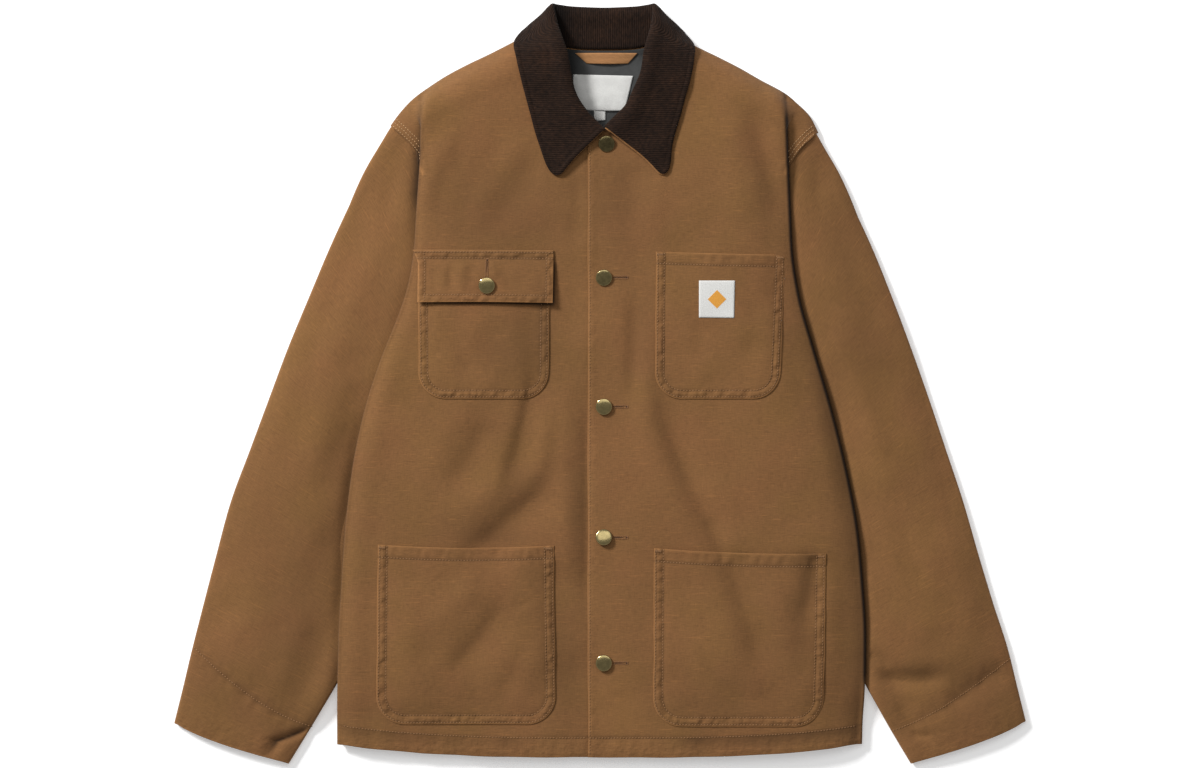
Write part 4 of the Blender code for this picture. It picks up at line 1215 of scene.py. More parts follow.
def crevice_shade(side, xs, ys):
    """Painted shade where the sleeve goes in under the side crease: how dark it is, and how many widths off.
    """
    at, dark, wide = np.array(CREVICE_SHADES[side], float).T
    beside = np.abs(xs) - np.vectorize(CREASE[side])(ys)
    return np.interp(ys, at, dark), np.maximum(beside, 0) / np.interp(ys, at, wide)


def front_stop(xs):
    """The underlap lies a little lower where the other front's edge presses on it."""
    return -0.5 * unit((xs - PLACKET_X + 6) / 10)


def edge_waver(xs, ys, up, from_edge):
    """Sewn edges never run dead straight: how far the placket's edge and the hem's edge stray."""
    across = 0.5 * np.exp(-np.maximum(from_edge, 0) / 8) * wobble(ys, ys * 0, 60, 4.4)
    along = 0.5 * np.exp(-np.maximum(up, 0) / 12) * wobble(xs, xs * 0, 46, 9.9)
    return np.stack((across, along), -1)


BACK_CREASES = (
    (-150, -320, -90, -180, -110, -30, 16, 1.9, 0.2),
    (-40, -300, -10, -160, -46, -20, 18, 1.5, -0.2),
    (60, -330, 96, -170, 70, -60, 15, 2.1, 0.3),
    (160, -300, 140, -200, 168, -90, 14, 1.5, 0.0),
    (-130, 40, -70, 120, -96, 220, 17, 1.8, 0.2),
    (20, 20, 46, 110, 16, 200, 19, 1.4, 0.0),
    (120, 30, 90, 130, 122, 230, 15, 1.7, -0.3),
    (-210, -200, -190, -120, -200, -40, 13, 1.3, 0.0),
    (206, -150, 190, -70, 196, 10, 13, 1.4, 0.0),
)


def back_piece(finish):
    """The back: flat on the ground, with soft folds that lift off it, and its sides turned up and in."""
    grid = finer(numbered(back_point_rows()), 4.6, 4.6, fewest=2)
    grid = border_lines(grid, 0, (0.6, 1.6, 3.2, *HEM_LINES))
    xs, ys, column = grid[..., X], grid[..., Y], grid[..., 3]
    flat = unit((9 - np.abs(column - TAIL_POINTS - 5)) / 4) * unit(1 - (grid[..., Z] - 1.2) / 1.5)
    up = above_hem(xs, ys)
    lift = crease_heights(BACK_CREASES, xs, ys) * (unit((330 - ys) / 60) * unit(up / 40))
    ripple = np.maximum(0, 0.5 * wobble(xs, ys / 3, 15, 7.4)) * bell(up, HEM_ROW)
    grid[..., Z] += flat * (lift + ripple)
    weave = (lengths_along(grid, 1), ys)
    return sewn("back", "canvas", grid, CANVAS_WALL, finish, weave, hem_marks(xs, up))


SLEEVE_CREASES = (
    (-412, -272, -350, -323, -294, -349, 6, -1.0, 0.0),
    (420, -280, 358, -326, 302, -353, 6, -0.9, 0.0),
    (-348, -370, -321, -362, -290, -349, 4.5, -4.4, 0.2),
    (-230, 190, -262, 110, -296, 20, 15, -1.6, 0.2),
    (-196, 140, -215, 60, -238, -30, 14, 2.2, 0.0),
    (-300, 60, -330, -30, -350, -120, 16, 1.2, 0.0),
    (-244, -20, -254, -120, -271, -300, 13, -2.6, 0.0),
    (-260, -110, -272, -210, -286, -330, 32, -2.2, 0.0),
    (-352, -150, -376, -220, -392, -280, 14, -1.1, 0.0),
    (-296, -230, -316, -270, -330, -316, 12, 1.0, 0.0),
    (-206, 226, -214, 200, -216, 170, 8, -1.2, 0.0),
    (273, -272, 286, -281, 301, -288, 6, -1.8, 0.2),
    (280, -296, 318, -301, 360, -297, 9, -5.4, 0.0),
    (345, -326, 384, -309, 424, -284, 14, -3.4, 0.0),
    (214, 236, 226, 214, 232, 190, 12, -1.8, 0.0),
    (316, -355, 328, -359, 342, -358, 4, -2.4, 0.0),
    (336, -363, 348, -368, 362, -366, 4, -2.0, 0.0),
    (302, -322, 313, -340, 324, -354, 6, -1.4, 0.0),
    (228, 190, 262, 110, 300, 20, 15, -1.5, -0.2),
    (250, 40, 276, -50, 300, -130, 15, 1.3, 0.0),
    (318, 10, 346, -70, 366, -160, 14, -1.4, 0.2),
    (292, -110, 316, -170, 332, -240, 14, -1.4, -0.2),
    (352, -150, 372, -210, 384, -268, 14, 1.2, 0.0),
    (212, 226, 222, 196, 224, 166, 8, -1.0, 0.0),
)
# Where the facing inside each cuff is sewn through, from the outer fold to the inner one.
CUFF_ROWS = {
    "right": ((-420, -264), (-352, -322), (-291, -351)),
    "left": ((427, -274), (358, -325), (299, -354)),
}
# Short sharp folds by the cuffs, with painted shade that makes them black inside.
CUFF_FOLDS = {
    "right": ((-342, -368), (-320, -361), (-294, -349)),
    "left": ((286, -297), (318, -302), (350, -299)),
}


def sleeve_marks(rows):
    """For the rings' points: 1 on the upper layer and 0 below; 0 at the inner fold and 1 at the outer."""
    spans = np.linspace(0, 1, SLEEVE_SPANS + 1).tolist()
    upper = [1.0] * len(spans) + [0.85, 0.5, 0.15] + [0.0] * len(spans) + [0.15, 0.5, 0.85]
    share = spans + [1.0] * 3 + spans[::-1] + [0.0] * 3
    return [np.broadcast_to(np.array(ring), (rows, len(ring))) for ring in (upper, share)]


def seam_allowance(grid):
    """Rings ahead of the first one, which run in under the body's edge at the armhole."""
    ways = grid[0, :, :2] - grid[3, :, :2]
    ways /= np.maximum(np.hypot(*ways.T), 1e-3)[:, None]
    wide = grid[0, grid[0, :, 4].argmax(), :2] - grid[0, grid[0, :, 4].argmin(), :2]
    wide /= np.hypot(*wide)
    made = []
    for reach, drop in ((7.0, 0.9), (4.6, 0.6), (2.2, 0.2)):
        ring = grid[0].copy()
        ring[:, :2] += ways * (reach * (0.35 + 0.65 * ring[:, 3]))[:, None]
        ring[:, :2] -= wide * (1.1 * reach * unit(ring[:, 4]) ** 6)[:, None]
        ring[:, 2] -= drop * ring[:, 3]
        made.append(ring)
    return np.array(made)


# How much fuller the sleeve's head is, how far before its first ring that starts and how long it is.
HEAD_EASE = {"right": (3.6, 8, 86), "left": (5.4, 22, 104)}
# How far each sleeve dips beside the body's crease, at four heights from low to high.
CREASE_DIPS = {"right": (2.2, 0.6, 0.6, 2.6), "left": (2.6, 2.6, 2.4, 1.0)}


def sleeve_ease(side, grid, share, down, from_cuff):
    """How the sleeve bows out in plan: its head to the outer side, and its cuff downwards in the middle."""
    wide = grid[:, share[0].argmax(), :2] - grid[:, share[0].argmin(), :2]
    wide /= np.hypot(*wide.T)[:, None]
    ends = np.stack((wide[:, 1], -wide[:, 0]), -1) * SIGN[side]
    fuller, before, reach = HEAD_EASE[side]
    out = fuller * np.sin(np.pi * unit((down + before) / reach))[:, None] * unit(share) ** 3
    low = 3.4 * np.sin(np.pi * unit(share)) * np.exp(-from_cuff / 24)
    return wide[:, None] * out[..., None] + ends[:, None] * low[..., None]


def sleeve_piece(side, finish):
    """One sleeve: a flat tube from the armhole to the open cuff."""
    rings = np.asarray(sleeve_rings(side), float)
    stations = np.broadcast_to(np.arange(len(rings), dtype=float)[:, None], rings.shape[:2])
    grid = finer(with_channels(rings, *sleeve_marks(len(rings)), stations), 4.2, 2.3, closed=True, fewest=2)
    grid = border_lines(grid, 0, (0.6, 1.4, 2.6, *HEM_LINES), at_end=True)
    grid = np.concatenate((seam_allowance(grid), grid))
    xs, ys, _, upper, share, station = np.moveaxis(grid, 2, 0)
    centre = grid[..., :2].mean(axis=1)
    down = np.concatenate(([0.0], np.cumsum(np.hypot(*np.diff(centre, axis=0).T))))
    from_cuff = (down[-1] - down)[:, None] * np.ones(xs.shape)
    grid[..., :2] += sleeve_ease(side, grid, share, down, from_cuff)
    sewn_in = unit(station / 1.6)
    beside = np.abs(xs) - np.vectorize(CREASE[side])(ys)
    # Painted shade of the crevice beside the body's crease.
    dark, off = crevice_shade(side, xs, ys)
    dip = np.interp(ys, (-80, -20, 120, 180), CREASE_DIPS[side])
    grid[..., Z] -= unit(upper) ** 2 * dip * bell(beside, 6.5) * sewn_in
    lofted = unit((station - 1) / 3) * np.clip(from_cuff / 30, 0.25, 1)
    slack = 1.1 * wobble(xs, ys, 70, 12.5) + 0.5 * wobble(xs, ys, 27, 15.5)
    relief = crease_heights(SLEEVE_CREASES, xs, ys) + slack * lofted
    row, fold = smooth_line(*CUFF_ROWS[side]), smooth_line(*CUFF_FOLDS[side])
    cuff = lip(from_cuff) - 0.5 * crease_share(row, xs, ys, 2.6, 0.0)
    cuff = cuff + puckers(lengths_along(grid, 1), from_cuff, 0.0, 18.0, 8.0, 1.5, 0.6)
    cuff = cuff + 0.7 * crease_share(row, xs, ys, 9.0, 0.0) * wobble(xs, ys, 7, 3.7)
    grid[..., Z] += unit(upper) ** 2 * (relief * sewn_in + cuff)
    grid[..., Z] += unit(1 - upper) ** 2 * sewn_in * np.maximum(0, 0.8 * wobble(xs, ys, 60, 22.5)) * lofted
    weave = (lengths_along(grid, 1), down[:, None] * np.ones(xs.shape))
    # Painted shade in the cuff's stitched row, the cuff folds and the crevice.
    marks = {
        "edge": most(0.8 * bell(from_cuff, 1.6), 0.25 * bell(upper - 0.7, 0.25)),
        "pucker": most(bell(from_cuff - 10, 9), 0.8 * bell(down[:, None], 9)),
        "soil": 0.5 * crease_share(row, xs, ys, 2.3, 0.0),
        "shade": {"right": 0.85, "left": 0.25}[side] * crease_share(fold, xs, ys, 2.2, 0.0),
        "gap_dark": unit((ys + 318) / 26) * dark,
        "gap": off / GAP_REACH,
    }
    name, turned = "sleeve_" + side, side == "right"
    return sewn(name, "canvas", grid, SLEEVE_WALL, finish, weave, marks, closed=True, turned=turned)


# ---- Collar and neck ----

COLLAR_WALL = 1.2
SHOULDER_TURN_Y = 350.0
# Where the collar's weave turns from the stand into the leaves, and how far it has run by there.
LEAF_START = 62.0
TIP_RADIUS = 9.0
# How far the under collar shows beyond the left leaf's end, and how far that leaf is drawn in.
UNDER_PEEK = 1.3
LEFT_LEAF_IN = 2.4


def fronts_top(x, y):
    """The upper face of the fronts at a place, or of their nearest edge."""
    best = 0.0
    for side, low, high in (("left", PLACKET_X, 400.0), ("right", -400.0, UNDERLAP_X)):
        if low <= x <= high:
            inside = min(y, front_top_y(side, x))
            below = SHOULDER[side](abs(x)) - inside if out_of_centre(x) > NECK_OUT else FAR
            slack = body_relief(x, inside).item() * min(1.0, max(0.0, below / 30))
            best = max(best, front_z(side, x, inside) + slack + CANVAS_WALL / 2)
    return best


def fuller_roll(grid):
    """The roll stands wider where the collar turns forward beside the back neck."""
    out, ys = grid[..., X] - CENTRE_X, grid[..., Y]
    wider = unit((ys - 338) / 30) * bell(np.abs(out) - 44, 17)
    slimmer = blot(ys - 356, 11, np.abs(out) - 84, 14)
    return np.stack((np.sign(out) * (6.0 * wider - 4.2 * slimmer), out * 0), -1)


def rounded_tips(grid, outer, ends, peek):
    """Draws the leaf tips in to a round corner; the last end may peek out more."""
    ways = [-np.gradient(grid[..., :2], axis=1), np.gradient(grid[..., :2], axis=0)]
    ways[1][len(grid) // 2 :] *= -1
    ways = [way / np.maximum(np.linalg.norm(way, axis=2, keepdims=True), 1e-6) for way in ways]
    u, v = (TIP_RADIUS - np.minimum(distance, TIP_RADIUS) for distance in (outer, ends))
    less = (1 - np.maximum(u, v) / np.maximum(np.hypot(u, v), 1e-6))[..., None]
    reach = 3.4 * np.exp(-(outer**2 + ends**2) / 18**2)[..., None]
    more = peek * bell(ends, 9)[..., None]
    more[: len(grid) // 2] = 0
    return ways[0] * (u[..., None] * less - reach) + ways[1] * (v[..., None] * less - reach - more)


def collar_piece(name, offset, finish, slot):
    """One layer of the collar, from leaf tip to leaf tip round the back."""
    rows = collar_rows(fronts_top, offset)
    stations = np.broadcast_to(np.linspace(-1, 1, len(rows))[:, None], rows.shape[:2])
    layers = np.broadcast_to(np.linspace(0, 1, rows.shape[1]), rows.shape[:2])
    grid = finer(with_channels(rows, stations, layers), 2.6, 1.9, fewest=3)
    for axis, at_end in ((1, True), (0, False), (0, True)):
        grid = border_lines(grid, axis, (0.5, 1.1, 2.0, 4.2, 5.0, 5.8), at_end)
    outer = lengths_along(grid[:, ::-1], 1)[:, ::-1]
    ends = lengths_along(grid, 0)
    ends = np.minimum(ends, ends[-1] - ends)
    peek = UNDER_PEEK * (name == "under_collar")
    grid[..., :2] += fuller_roll(grid) + rounded_tips(grid, outer, ends, peek)
    grid[..., X] -= LEFT_LEAF_IN * unit((grid[..., X] - 40) / 30) * unit((330 - grid[..., Y]) / 40)
    xs, ys, _, station, layer = np.moveaxis(grid, 2, 0)
    free = np.minimum(outer, np.where(layer > 0.55, ends, FAR))
    leaf = smooth(unit((np.abs(station) - 0.42) / 0.2))
    bead = 0.5 * bell(free - 2.5, 1.7) * (1 + 0.9 * wobble(xs, ys, 6, 33.5))
    shaping = lip(free, 0.7, 1.2) + furrow(free, 5.0, 0.55, 1.1) + bead
    soft = 0.5 * wobble(xs, ys, 24, 31.5) * unit(free / 12) * leaf
    grid[..., Z] += (shaping + soft) * leaf * unit((layer - 0.5) / 0.2)
    from_centre = np.where(station < 0, -1.0, 1.0) * (LEAF_START + SHOULDER_TURN_Y - ys)
    weave = ((xs - CENTRE_X) * (1 - leaf) + from_centre * leaf, lengths_along(grid, 1))
    stand = unit(1 - leaf * 2) * unit((0.5 - layer) / 0.1)
    # Painted shadow of the left leaf's roll on the stand, and painted shade low on the stand by its seam.
    shade = stand * most(0.85 * bell(np.maximum(xs + 42, 0), 13), 0.4 * bell(ys - 340, 9))
    marks = {"edge": bell(free, 1.4), "pucker": bell(free - 3, 4), "shade": shade}
    return sewn(name, slot, grid, COLLAR_WALL, finish, weave, marks)


LINING_WALL = 0.8
LABEL_WALL = 0.5
LOOP_WALL = 0.9
LINING_LOW_Y = 236.0


def lining_z(x, y):
    """Height of the neck lining's middle layer."""
    return back_z(x, y) + CANVAS_WALL / 2 + GAP + LINING_WALL / 2


def lining_top(x, y):
    """The upper face of the neck lining."""
    return lining_z(x, y) + LINING_WALL / 2


def neck_lining_piece(finish):
    """The facing inside the back neck, lightly creased."""
    xs, shares = np.meshgrid(np.linspace(CENTRE_X - 64, CENTRE_X + 64, 72), np.linspace(0, 1, 60))
    tops = np.vectorize(back_top_y)(xs) - GAP
    ys = LINING_LOW_Y + (tops - LINING_LOW_Y) * shares
    zs = np.vectorize(lining_z)(xs, ys) + np.maximum(0, 0.7 * wobble(xs, ys, 21, 41.5)) + 0.15
    # Painted shadow under the left leaf and under the stand.
    shade = most(0.8 * bell(np.maximum(xs + 31, 0), 10), 0.6 * bell(np.maximum(338 - ys, 0), 5))
    name, grid = "back_neck_lining", np.stack((xs, ys, zs), -1)
    return sewn(name, "lining", grid, LINING_WALL, finish, (xs, ys), {"shade": shade})


# Corners in plan, from the lower left one round by the lower right.
LABEL_CORNERS = ((-28, 281.5), (25.5, 279.5), (34, 315), (-27.5, 316.5))
TAB_CORNERS = ((-6, 270), (5.5, 270), (5.5, 281), (-6, 281))


def label_piece(name, corners, curl, finish):
    """A bare woven label on the neck lining, slightly crinkled."""
    u, v = np.meshgrid(np.linspace(0, 1, 44), np.linspace(0, 1, 26))
    low_left, low_right, high_right, high_left = np.array(corners, float)
    low = low_left + u[..., None] * (low_right - low_left)
    high = high_left + u[..., None] * (high_right - high_left)
    plan = low + (high - low) * v[..., None]
    plan[..., Y] -= 1.2 * np.sin(np.pi * u) * (1 - v) * curl
    xs, ys = plan[..., X], plan[..., Y]
    rim = np.minimum(np.minimum(u, 1 - u) * 12, np.minimum(v, 1 - v) * 8)
    zs = np.vectorize(lining_top)(xs, ys) + 0.9 + curl * (1 - v) * (0.9 + 0.5 * wobble(xs, ys, 13, 47.5))
    grid = np.stack((xs, ys, zs - 0.3 * bell(rim, 0.5)), -1)
    return sewn(name, "label", grid, LABEL_WALL, finish, (xs, ys), {"edge": bell(rim, 0.4)})


# The loop's upper edge, at the stand's seam, and its lower edge: left and right ends in plan.
LOOP_EDGES = ((-25.5, 338.2), (38.5, 338.2)), ((-13.5, 327.8), (28.5, 327.6))


def hanger_loop_piece(finish):
    """A narrow strap sewn in at both ends, a little slack in the middle."""
    share, across = np.linspace(0, 1, 52)[:, None], np.linspace(1, -1, 11)
    high, low = (np.array(a) + share * (np.array(b) - a) for a, b in np.array(LOOP_EDGES, float))
    low[:, Y] -= 0.7 * np.sin(np.pi * share[:, 0])
    plan = low[:, None] + (high - low)[:, None] * (across[:, None] + 1) / 2
    ground = np.vectorize(lining_z)(plan[..., X], np.minimum(plan[..., Y], 340))
    rounding = 0.45 * (1 - np.abs(across) ** 4)
    zs = ground + 1.1 + rounding + 2.0 * np.sin(np.pi * share)
    grid = np.concatenate((plan, zs[..., None]), axis=2)
    off = np.abs(across) * np.ones(zs.shape)
    marks = {"edge": bell(1 - off, 0.14), "pucker": off * 0.5}
    weave = (lengths_along(grid, 0), lengths_along(grid, 1))
    return sewn("hanger_loop", "canvas", grid, LOOP_WALL, finish, weave, marks)


# ---- Pockets, flap and patch ----

POCKET_WALL = 1.1
SEWN_GAP = 0.25
EDGE_ROW = 2.0

# Corners in plan, corner radius, where the inner row of stitches lies and the mouth's row (0 for none),
# how much the top edge dips in its middle, how far the cloth stands off inside its stitches, and which
# front it is sewn on.
POCKET_COLUMNS = (
    "left_low", "left_high", "right_low", "right_high", "top_left", "top_right", "bottom",
    "corner", "inner", "mouth", "dip", "puff", "side",
)
POCKETS = {
    "chest_pocket_right": (-184, -185, -52, -51, 122, 122, -15, 27, 8.5, 0, 0.0, 1.3, "right"),
    "chest_pocket_left": (56, 57, 182.5, 188.5, 134.5, 131.5, -15, 27, 8.5, 12, 0.5, 1.3, "left"),
    "hip_pocket_right": (-228, -226, -45, -47, -163.5, -164.5, -347, 29, 9.5, 12.5, 2.8, 1.8, "right"),
    "hip_pocket_left": (54, 55, 227, 230, -167, -172.5, -349, 29, 9.5, 13, 2.0, 1.8, "left"),
}


def pocket_table(name):
    """A pocket's row of the table, by column name."""
    return dict(zip(POCKET_COLUMNS, POCKETS[name]))


POCKET_CREASES = (
    (-76, -212, -84, -226, -60, -214, 4, -0.6, 0.0),
    (-62, -164, -58, -176, -51, -188, 4, -1.3, 0.3),
    (-152, 60, -140, 30, -128, 4, 10, -0.9, 0.0),
    (-96, 66, -84, 36, -92, 6, 11, 0.8, 0.0),
    (92, 60, 96, 30, 112, -2, 10, 0.6, 0.0),
    (150, 100, 156, 60, 150, 20, 10, -0.6, 0.2),
    (-200, -200, -190, -240, -196, -300, 12, 0.9, 0.0),
    (-70, -240, -86, -290, -110, -330, 10, -0.9, 0.2),
    (90, -200, 96, -250, 110, -310, 13, 0.9, 0.0),
    (204, -178, 214, -186, 224, -184, 5, 1.6, 0.0),
    (120, -300, 150, -320, 190, -312, 9, -0.7, 0.0),
)


def rounded_distance(ps, qs, width, height, corner):
    """Distance inwards from the outline of a plate whose lower corners are round, and the place along it."""
    half = width / 2
    off = np.abs(ps)
    to_side, to_bottom, to_top = half - off, qs, height - qs
    in_corner = (off > half - corner) & (qs < corner)
    bend = corner - np.hypot(off - (half - corner), qs - corner)
    plain = np.minimum(np.minimum(to_side, to_bottom), to_top)
    inward = np.where(in_corner, np.minimum(bend, to_top), plain)
    turn = np.arctan2(np.maximum(off - (half - corner), 0), np.maximum(corner - qs, 0) + 1e-6)
    sign = np.sign(ps)
    low = np.minimum(off, half - corner)
    bent = corner * np.clip(turn, 0, np.pi / 2) * (off > half - corner)
    along = sign * (low + bent + np.maximum(qs - corner, 0))
    return inward, along, to_top


def panel_top(side, xs, ys):
    """The upper face of a front at many places at once."""
    heights = np.vectorize(lambda x, y: front_z(side, x, y))(xs, ys)
    return heights + body_relief(xs, ys) + CANVAS_WALL / 2


def plate_grid(at, spacing):
    """Nominal coordinates of a pocket's points, and where they lie in plan."""
    width = (at["right_low"] + at["right_high"] - at["left_low"] - at["left_high"]) / 2
    height = (at["top_left"] + at["top_right"]) / 2 - at["bottom"]
    corner = at["corner"]
    bend = corner * (1 - np.cos(np.radians(np.linspace(0, 90, 22))))
    ups = np.concatenate((bend[bend < corner * 0.96], np.arange(corner * 0.96, height - 1.2, spacing)))
    ups = np.concatenate((ups, [height - 1.2, height - 0.5, height]))
    rows = []
    for up in ups:
        half = width / 2 - corner + math.sqrt(max(0.0, corner**2 - (corner - min(corner, up)) ** 2))
        edge = np.array((0.0, 0.5, 1.1))
        count = round(width / spacing / 2) + 3
        reach = np.concatenate((edge, np.linspace(1.8, half, count)))
        ps = np.concatenate((-half + reach, (half - reach)[::-1][1:]))
        rows.append(np.column_stack((ps, np.full(ps.shape, up))))
    plan = np.array(rows)
    ps, qs = plan[..., 0], plan[..., 1]
    u, v = ps / width + 0.5, qs / height
    left = at["left_low"] + (at["left_high"] - at["left_low"]) * v
    right = at["right_low"] + (at["right_high"] - at["right_low"]) * v
    top = at["top_left"] + (at["top_right"] - at["top_left"]) * u - at["dip"] * np.sin(np.pi * u)
    xs = left + (right - left) * u
    ys = at["bottom"] + (top - at["bottom"]) * v
    return ps, qs, xs, ys, width, height


def pocket_piece(name, finish):
    """A patch pocket: rounded below, sewn down by two rows round its edge, open at its mouth."""
    at = pocket_table(name)
    ps, qs, xs, ys, width, height = plate_grid(at, 1.9)
    inward, along, to_top = rounded_distance(ps, qs, width, height, at["corner"])
    from_seam = np.where(to_top <= inward + 1e-6, np.minimum(width / 2 - np.abs(ps), qs), inward)
    inner, seed = at["inner"], sum(map(ord, name)) % 17
    sides = furrow(from_seam, EDGE_ROW, 0.3, 0.9) + furrow(from_seam, inner, 0.4, 1.1)
    beads = puckers(along, from_seam, EDGE_ROW - 0.5, inner + 0.8, 5.2, seed + 0.5, 1.0)
    swell = at["puff"] * (1 - np.exp(-np.maximum(from_seam - inner, 0) / 11))
    mouth = 0
    if at["mouth"]:
        mouth = furrow(to_top, at["mouth"], 0.4, 1.1)
        mouth = mouth + puckers(ps, to_top, 1.0, at["mouth"], 6.0, seed + 3.5, 0.8)
    ease = unit((from_seam - inner) / 10)
    creases = crease_heights(POCKET_CREASES, xs, ys) * ease + 0.45 * wobble(xs, ys, 26, seed + 9.5) * ease
    zs = panel_top(at["side"], xs, ys) + SEWN_GAP + POCKET_WALL / 2
    zs = zs + sides + beads + swell + creases + lip(from_seam, 0.4, 0.9) + mouth + lip(to_top, 0.3, 0.9)
    xs = xs + 0.35 * np.exp(-from_seam / 10) * wobble(ys, xs * 0, 24, seed + 5.5)
    open_top = at["mouth"] > 0
    rows = 0.6 * bell(from_seam - inner, 1.1) + 0.5 * bell(from_seam - 1.9, 0.7)
    # Painted shade along the stitched rows and under the mouth's row.
    marks = {
        "edge": most(0.6 * bell(from_seam, 1.4), 0.5 * bell(to_top, 1.2) * open_top),
        "pucker": bell(from_seam - 5, 4),
        "soil": most(rows, 0.75 * bell(to_top - at["mouth"], 1.3) * open_top),
    }
    # Painted shadow under the flap's lower edge.
    if name == "chest_pocket_right":
        dark, off = flap_gap_shade(xs, ys)
        marks |= {"gap_dark": dark, "gap": off / GAP_REACH}
    return sewn(name, "canvas", np.stack((xs, ys, zs), -1), POCKET_WALL, finish, (xs, ys), marks)


FLAP = {"left": -185.5, "right": -48.0, "top": 136.5, "bottom": 83.0}
FLAP_WIDE, FLAP_HIGH = FLAP["right"] - FLAP["left"], FLAP["top"] - FLAP["bottom"]
# Rows of stitches, as distances from the flap's top, its sides and its lower edge.
FLAP_TOP_ROWS = (2.2, 8.4)
FLAP_SIDE_ROW, FLAP_LOW_ROW = 7.0, 7.5
# Points across and up the bed that the flap lies on.
BED_ACROSS, BED_UP = 20, 9
FLAP_CREASES = (
    (-151, 122, -153, 110, -150, 92, 4.0, -0.9, 0.2),
    (-128, 124, -131, 112, -128, 98, 4.5, -0.8, 0.0),
    (-172, 120, -168, 104, -170, 92, 5.0, -0.7, 0.2),
    (-97, 124, -94, 110, -84, 98, 6.0, -0.7, 0.0),
    (-140, 124, -142, 108, -138, 92, 5.0, 0.7, 0.0),
    (-110, 127, -108, 116, -106, 104, 4.0, 0.8, 0.0),
)


def flap_gap_shade(xs, ys):
    """Painted shadow in the gap under the flap's loose edges: how dark it is, and how many widths off."""
    right, bottom = FLAP["right"] + 0.8 - 1.4 * unit((136 - ys) / 50), FLAP["bottom"] - 0.4
    beyond = np.hypot(np.maximum(xs - right, 0), np.maximum(bottom - ys, 0))
    dark = unit((xs - FLAP["left"] - 4) / 30) ** 0.4 * unit((FLAP["top"] - 6 - ys) / 12)
    return 0.95 * dark, beyond / (1.7 + 1.2 * unit((xs + 100) / 55))


def flap_plan(u, v):
    """Where a share of the flap lies in plan: its outer top corner runs out over the sleeve."""
    corner = unit((u * -1 + 0.12) / 0.12) ** 2 * unit((v - 0.72) / 0.28) ** 1.5
    xs = FLAP["left"] + FLAP_WIDE * u - 6.0 * corner + 0.8 * v
    top = FLAP["top"] - 0.6 * u
    bottom = FLAP["bottom"] + 0.6 * np.sin(np.pi * u) - 0.8 * u
    return xs, bottom + (top - bottom) * v


def rim_lines(length, spacing, last):
    """Shares of a length for a grid's lines, closer together at both ends."""
    inner = np.arange(2.8, length - 2.5, spacing)
    return np.concatenate(([0, 0.5, 1.1, 1.8], inner, length - np.array(last))) / length


def flap_piece(supports, finish):
    """The chest flap: sewn along its top, lying over the pocket and standing off it at its lower edge."""
    u, v = np.meshgrid(rim_lines(FLAP_WIDE, 1.7, (1.1, 0.5, 0)), rim_lines(FLAP_HIGH, 1.6, (1.2, 0.6, 0)))
    xs, ys = flap_plan(u, v)
    from_side = np.minimum(u, 1 - u) * FLAP_WIDE
    from_low, from_top = v * FLAP_HIGH, (1 - v) * FLAP_HIGH
    rim = np.minimum(np.minimum(from_side, from_low), from_top)
    stand = 0.6 + 2.3 * unit(1 - v / 0.85) ** 1.3 + 0.9 * np.sin(np.pi * v) * np.sin(np.pi * u)
    stand = stand + 1.4 * unit((u - 0.4) / 0.6) ** 1.5 * unit(1 - v / 0.9)
    rows = furrow(from_side, FLAP_SIDE_ROW, 0.35, 1.0) + furrow(from_low, FLAP_LOW_ROW, 0.35, 1.0)
    rows = rows + furrow(from_top, FLAP_TOP_ROWS[0], 0.35, 0.9) + furrow(from_top, FLAP_TOP_ROWS[1], 0.4, 1.0)
    beads = puckers(xs, from_top, 2.0, 8.6, 5.0, 3.3, 1.3) + puckers(ys, from_side, 0.5, 7.0, 5.5, 6.3, 0.8)
    beads = beads + puckers(xs, from_low, 0.5, 7.5, 6.0, 8.3, 0.7)
    soft = (crease_heights(FLAP_CREASES, xs, ys) + 0.3 * wobble(xs, ys, 14, 61.5)) * unit((rim - 5) / 5)
    pulled = -1.1 * bell(np.hypot(xs + 115, ys - 100), 13)
    zs = flap_bed(supports, xs, ys) + stand + rows + beads + soft + pulled + lip(rim, 0.45, 1.0)
    top_rows = bell(from_top - 2.4, 1.1) + bell(from_top - FLAP_TOP_ROWS[1], 1.2)
    # A painted highlight along the lower edge; painted shade in the stitched rows.
    marks = {
        "edge": bell(rim, 1.4) * np.where(from_top < 3, 0.45, 1.0) + 1.5 * bell(from_low, 0.8),
        "pucker": bell(rim - 4, 3.5),
        "soil": most(0.5 * bell(rim - 7.2, 1.0), 0.7 * top_rows),
    }
    name, grid = "chest_flap_right", np.stack((xs, ys, zs), -1)
    return sewn(name, "canvas", grid, POCKET_WALL, finish, (xs, ys), marks)


def flap_bed(supports, xs, ys):
    """A smooth bed over what lies under the flap."""
    trees = tree_of(*supports)
    places_x, places_y = np.linspace(-196, -44, BED_ACROSS), np.linspace(78, 142, BED_UP)
    spread = np.array([[on_top(trees, x, y)[0][Z] for x in places_x] for y in places_y])
    for combined in (np.max, np.mean):
        padded = np.pad(spread, 1, mode="edge")
        windows = [padded[i : i + BED_UP, j : j + BED_ACROSS] for i in range(3) for j in range(3)]
        spread = combined(windows, axis=0)
    col = np.clip(np.interp(xs, places_x, np.arange(BED_ACROSS)), 0, BED_ACROSS - 1.001)
    row = np.clip(np.interp(ys, places_y, np.arange(BED_UP)), 0, BED_UP - 1.001)
    i, j = row.astype(int), col.astype(int)
    a, b = row - i, col - j
    low = spread[i, j] * (1 - b) + spread[i, j + 1] * b
    high = spread[i + 1, j] * (1 - b) + spread[i + 1, j + 1] * b
    return low * (1 - a) + high * a + POCKET_WALL / 2


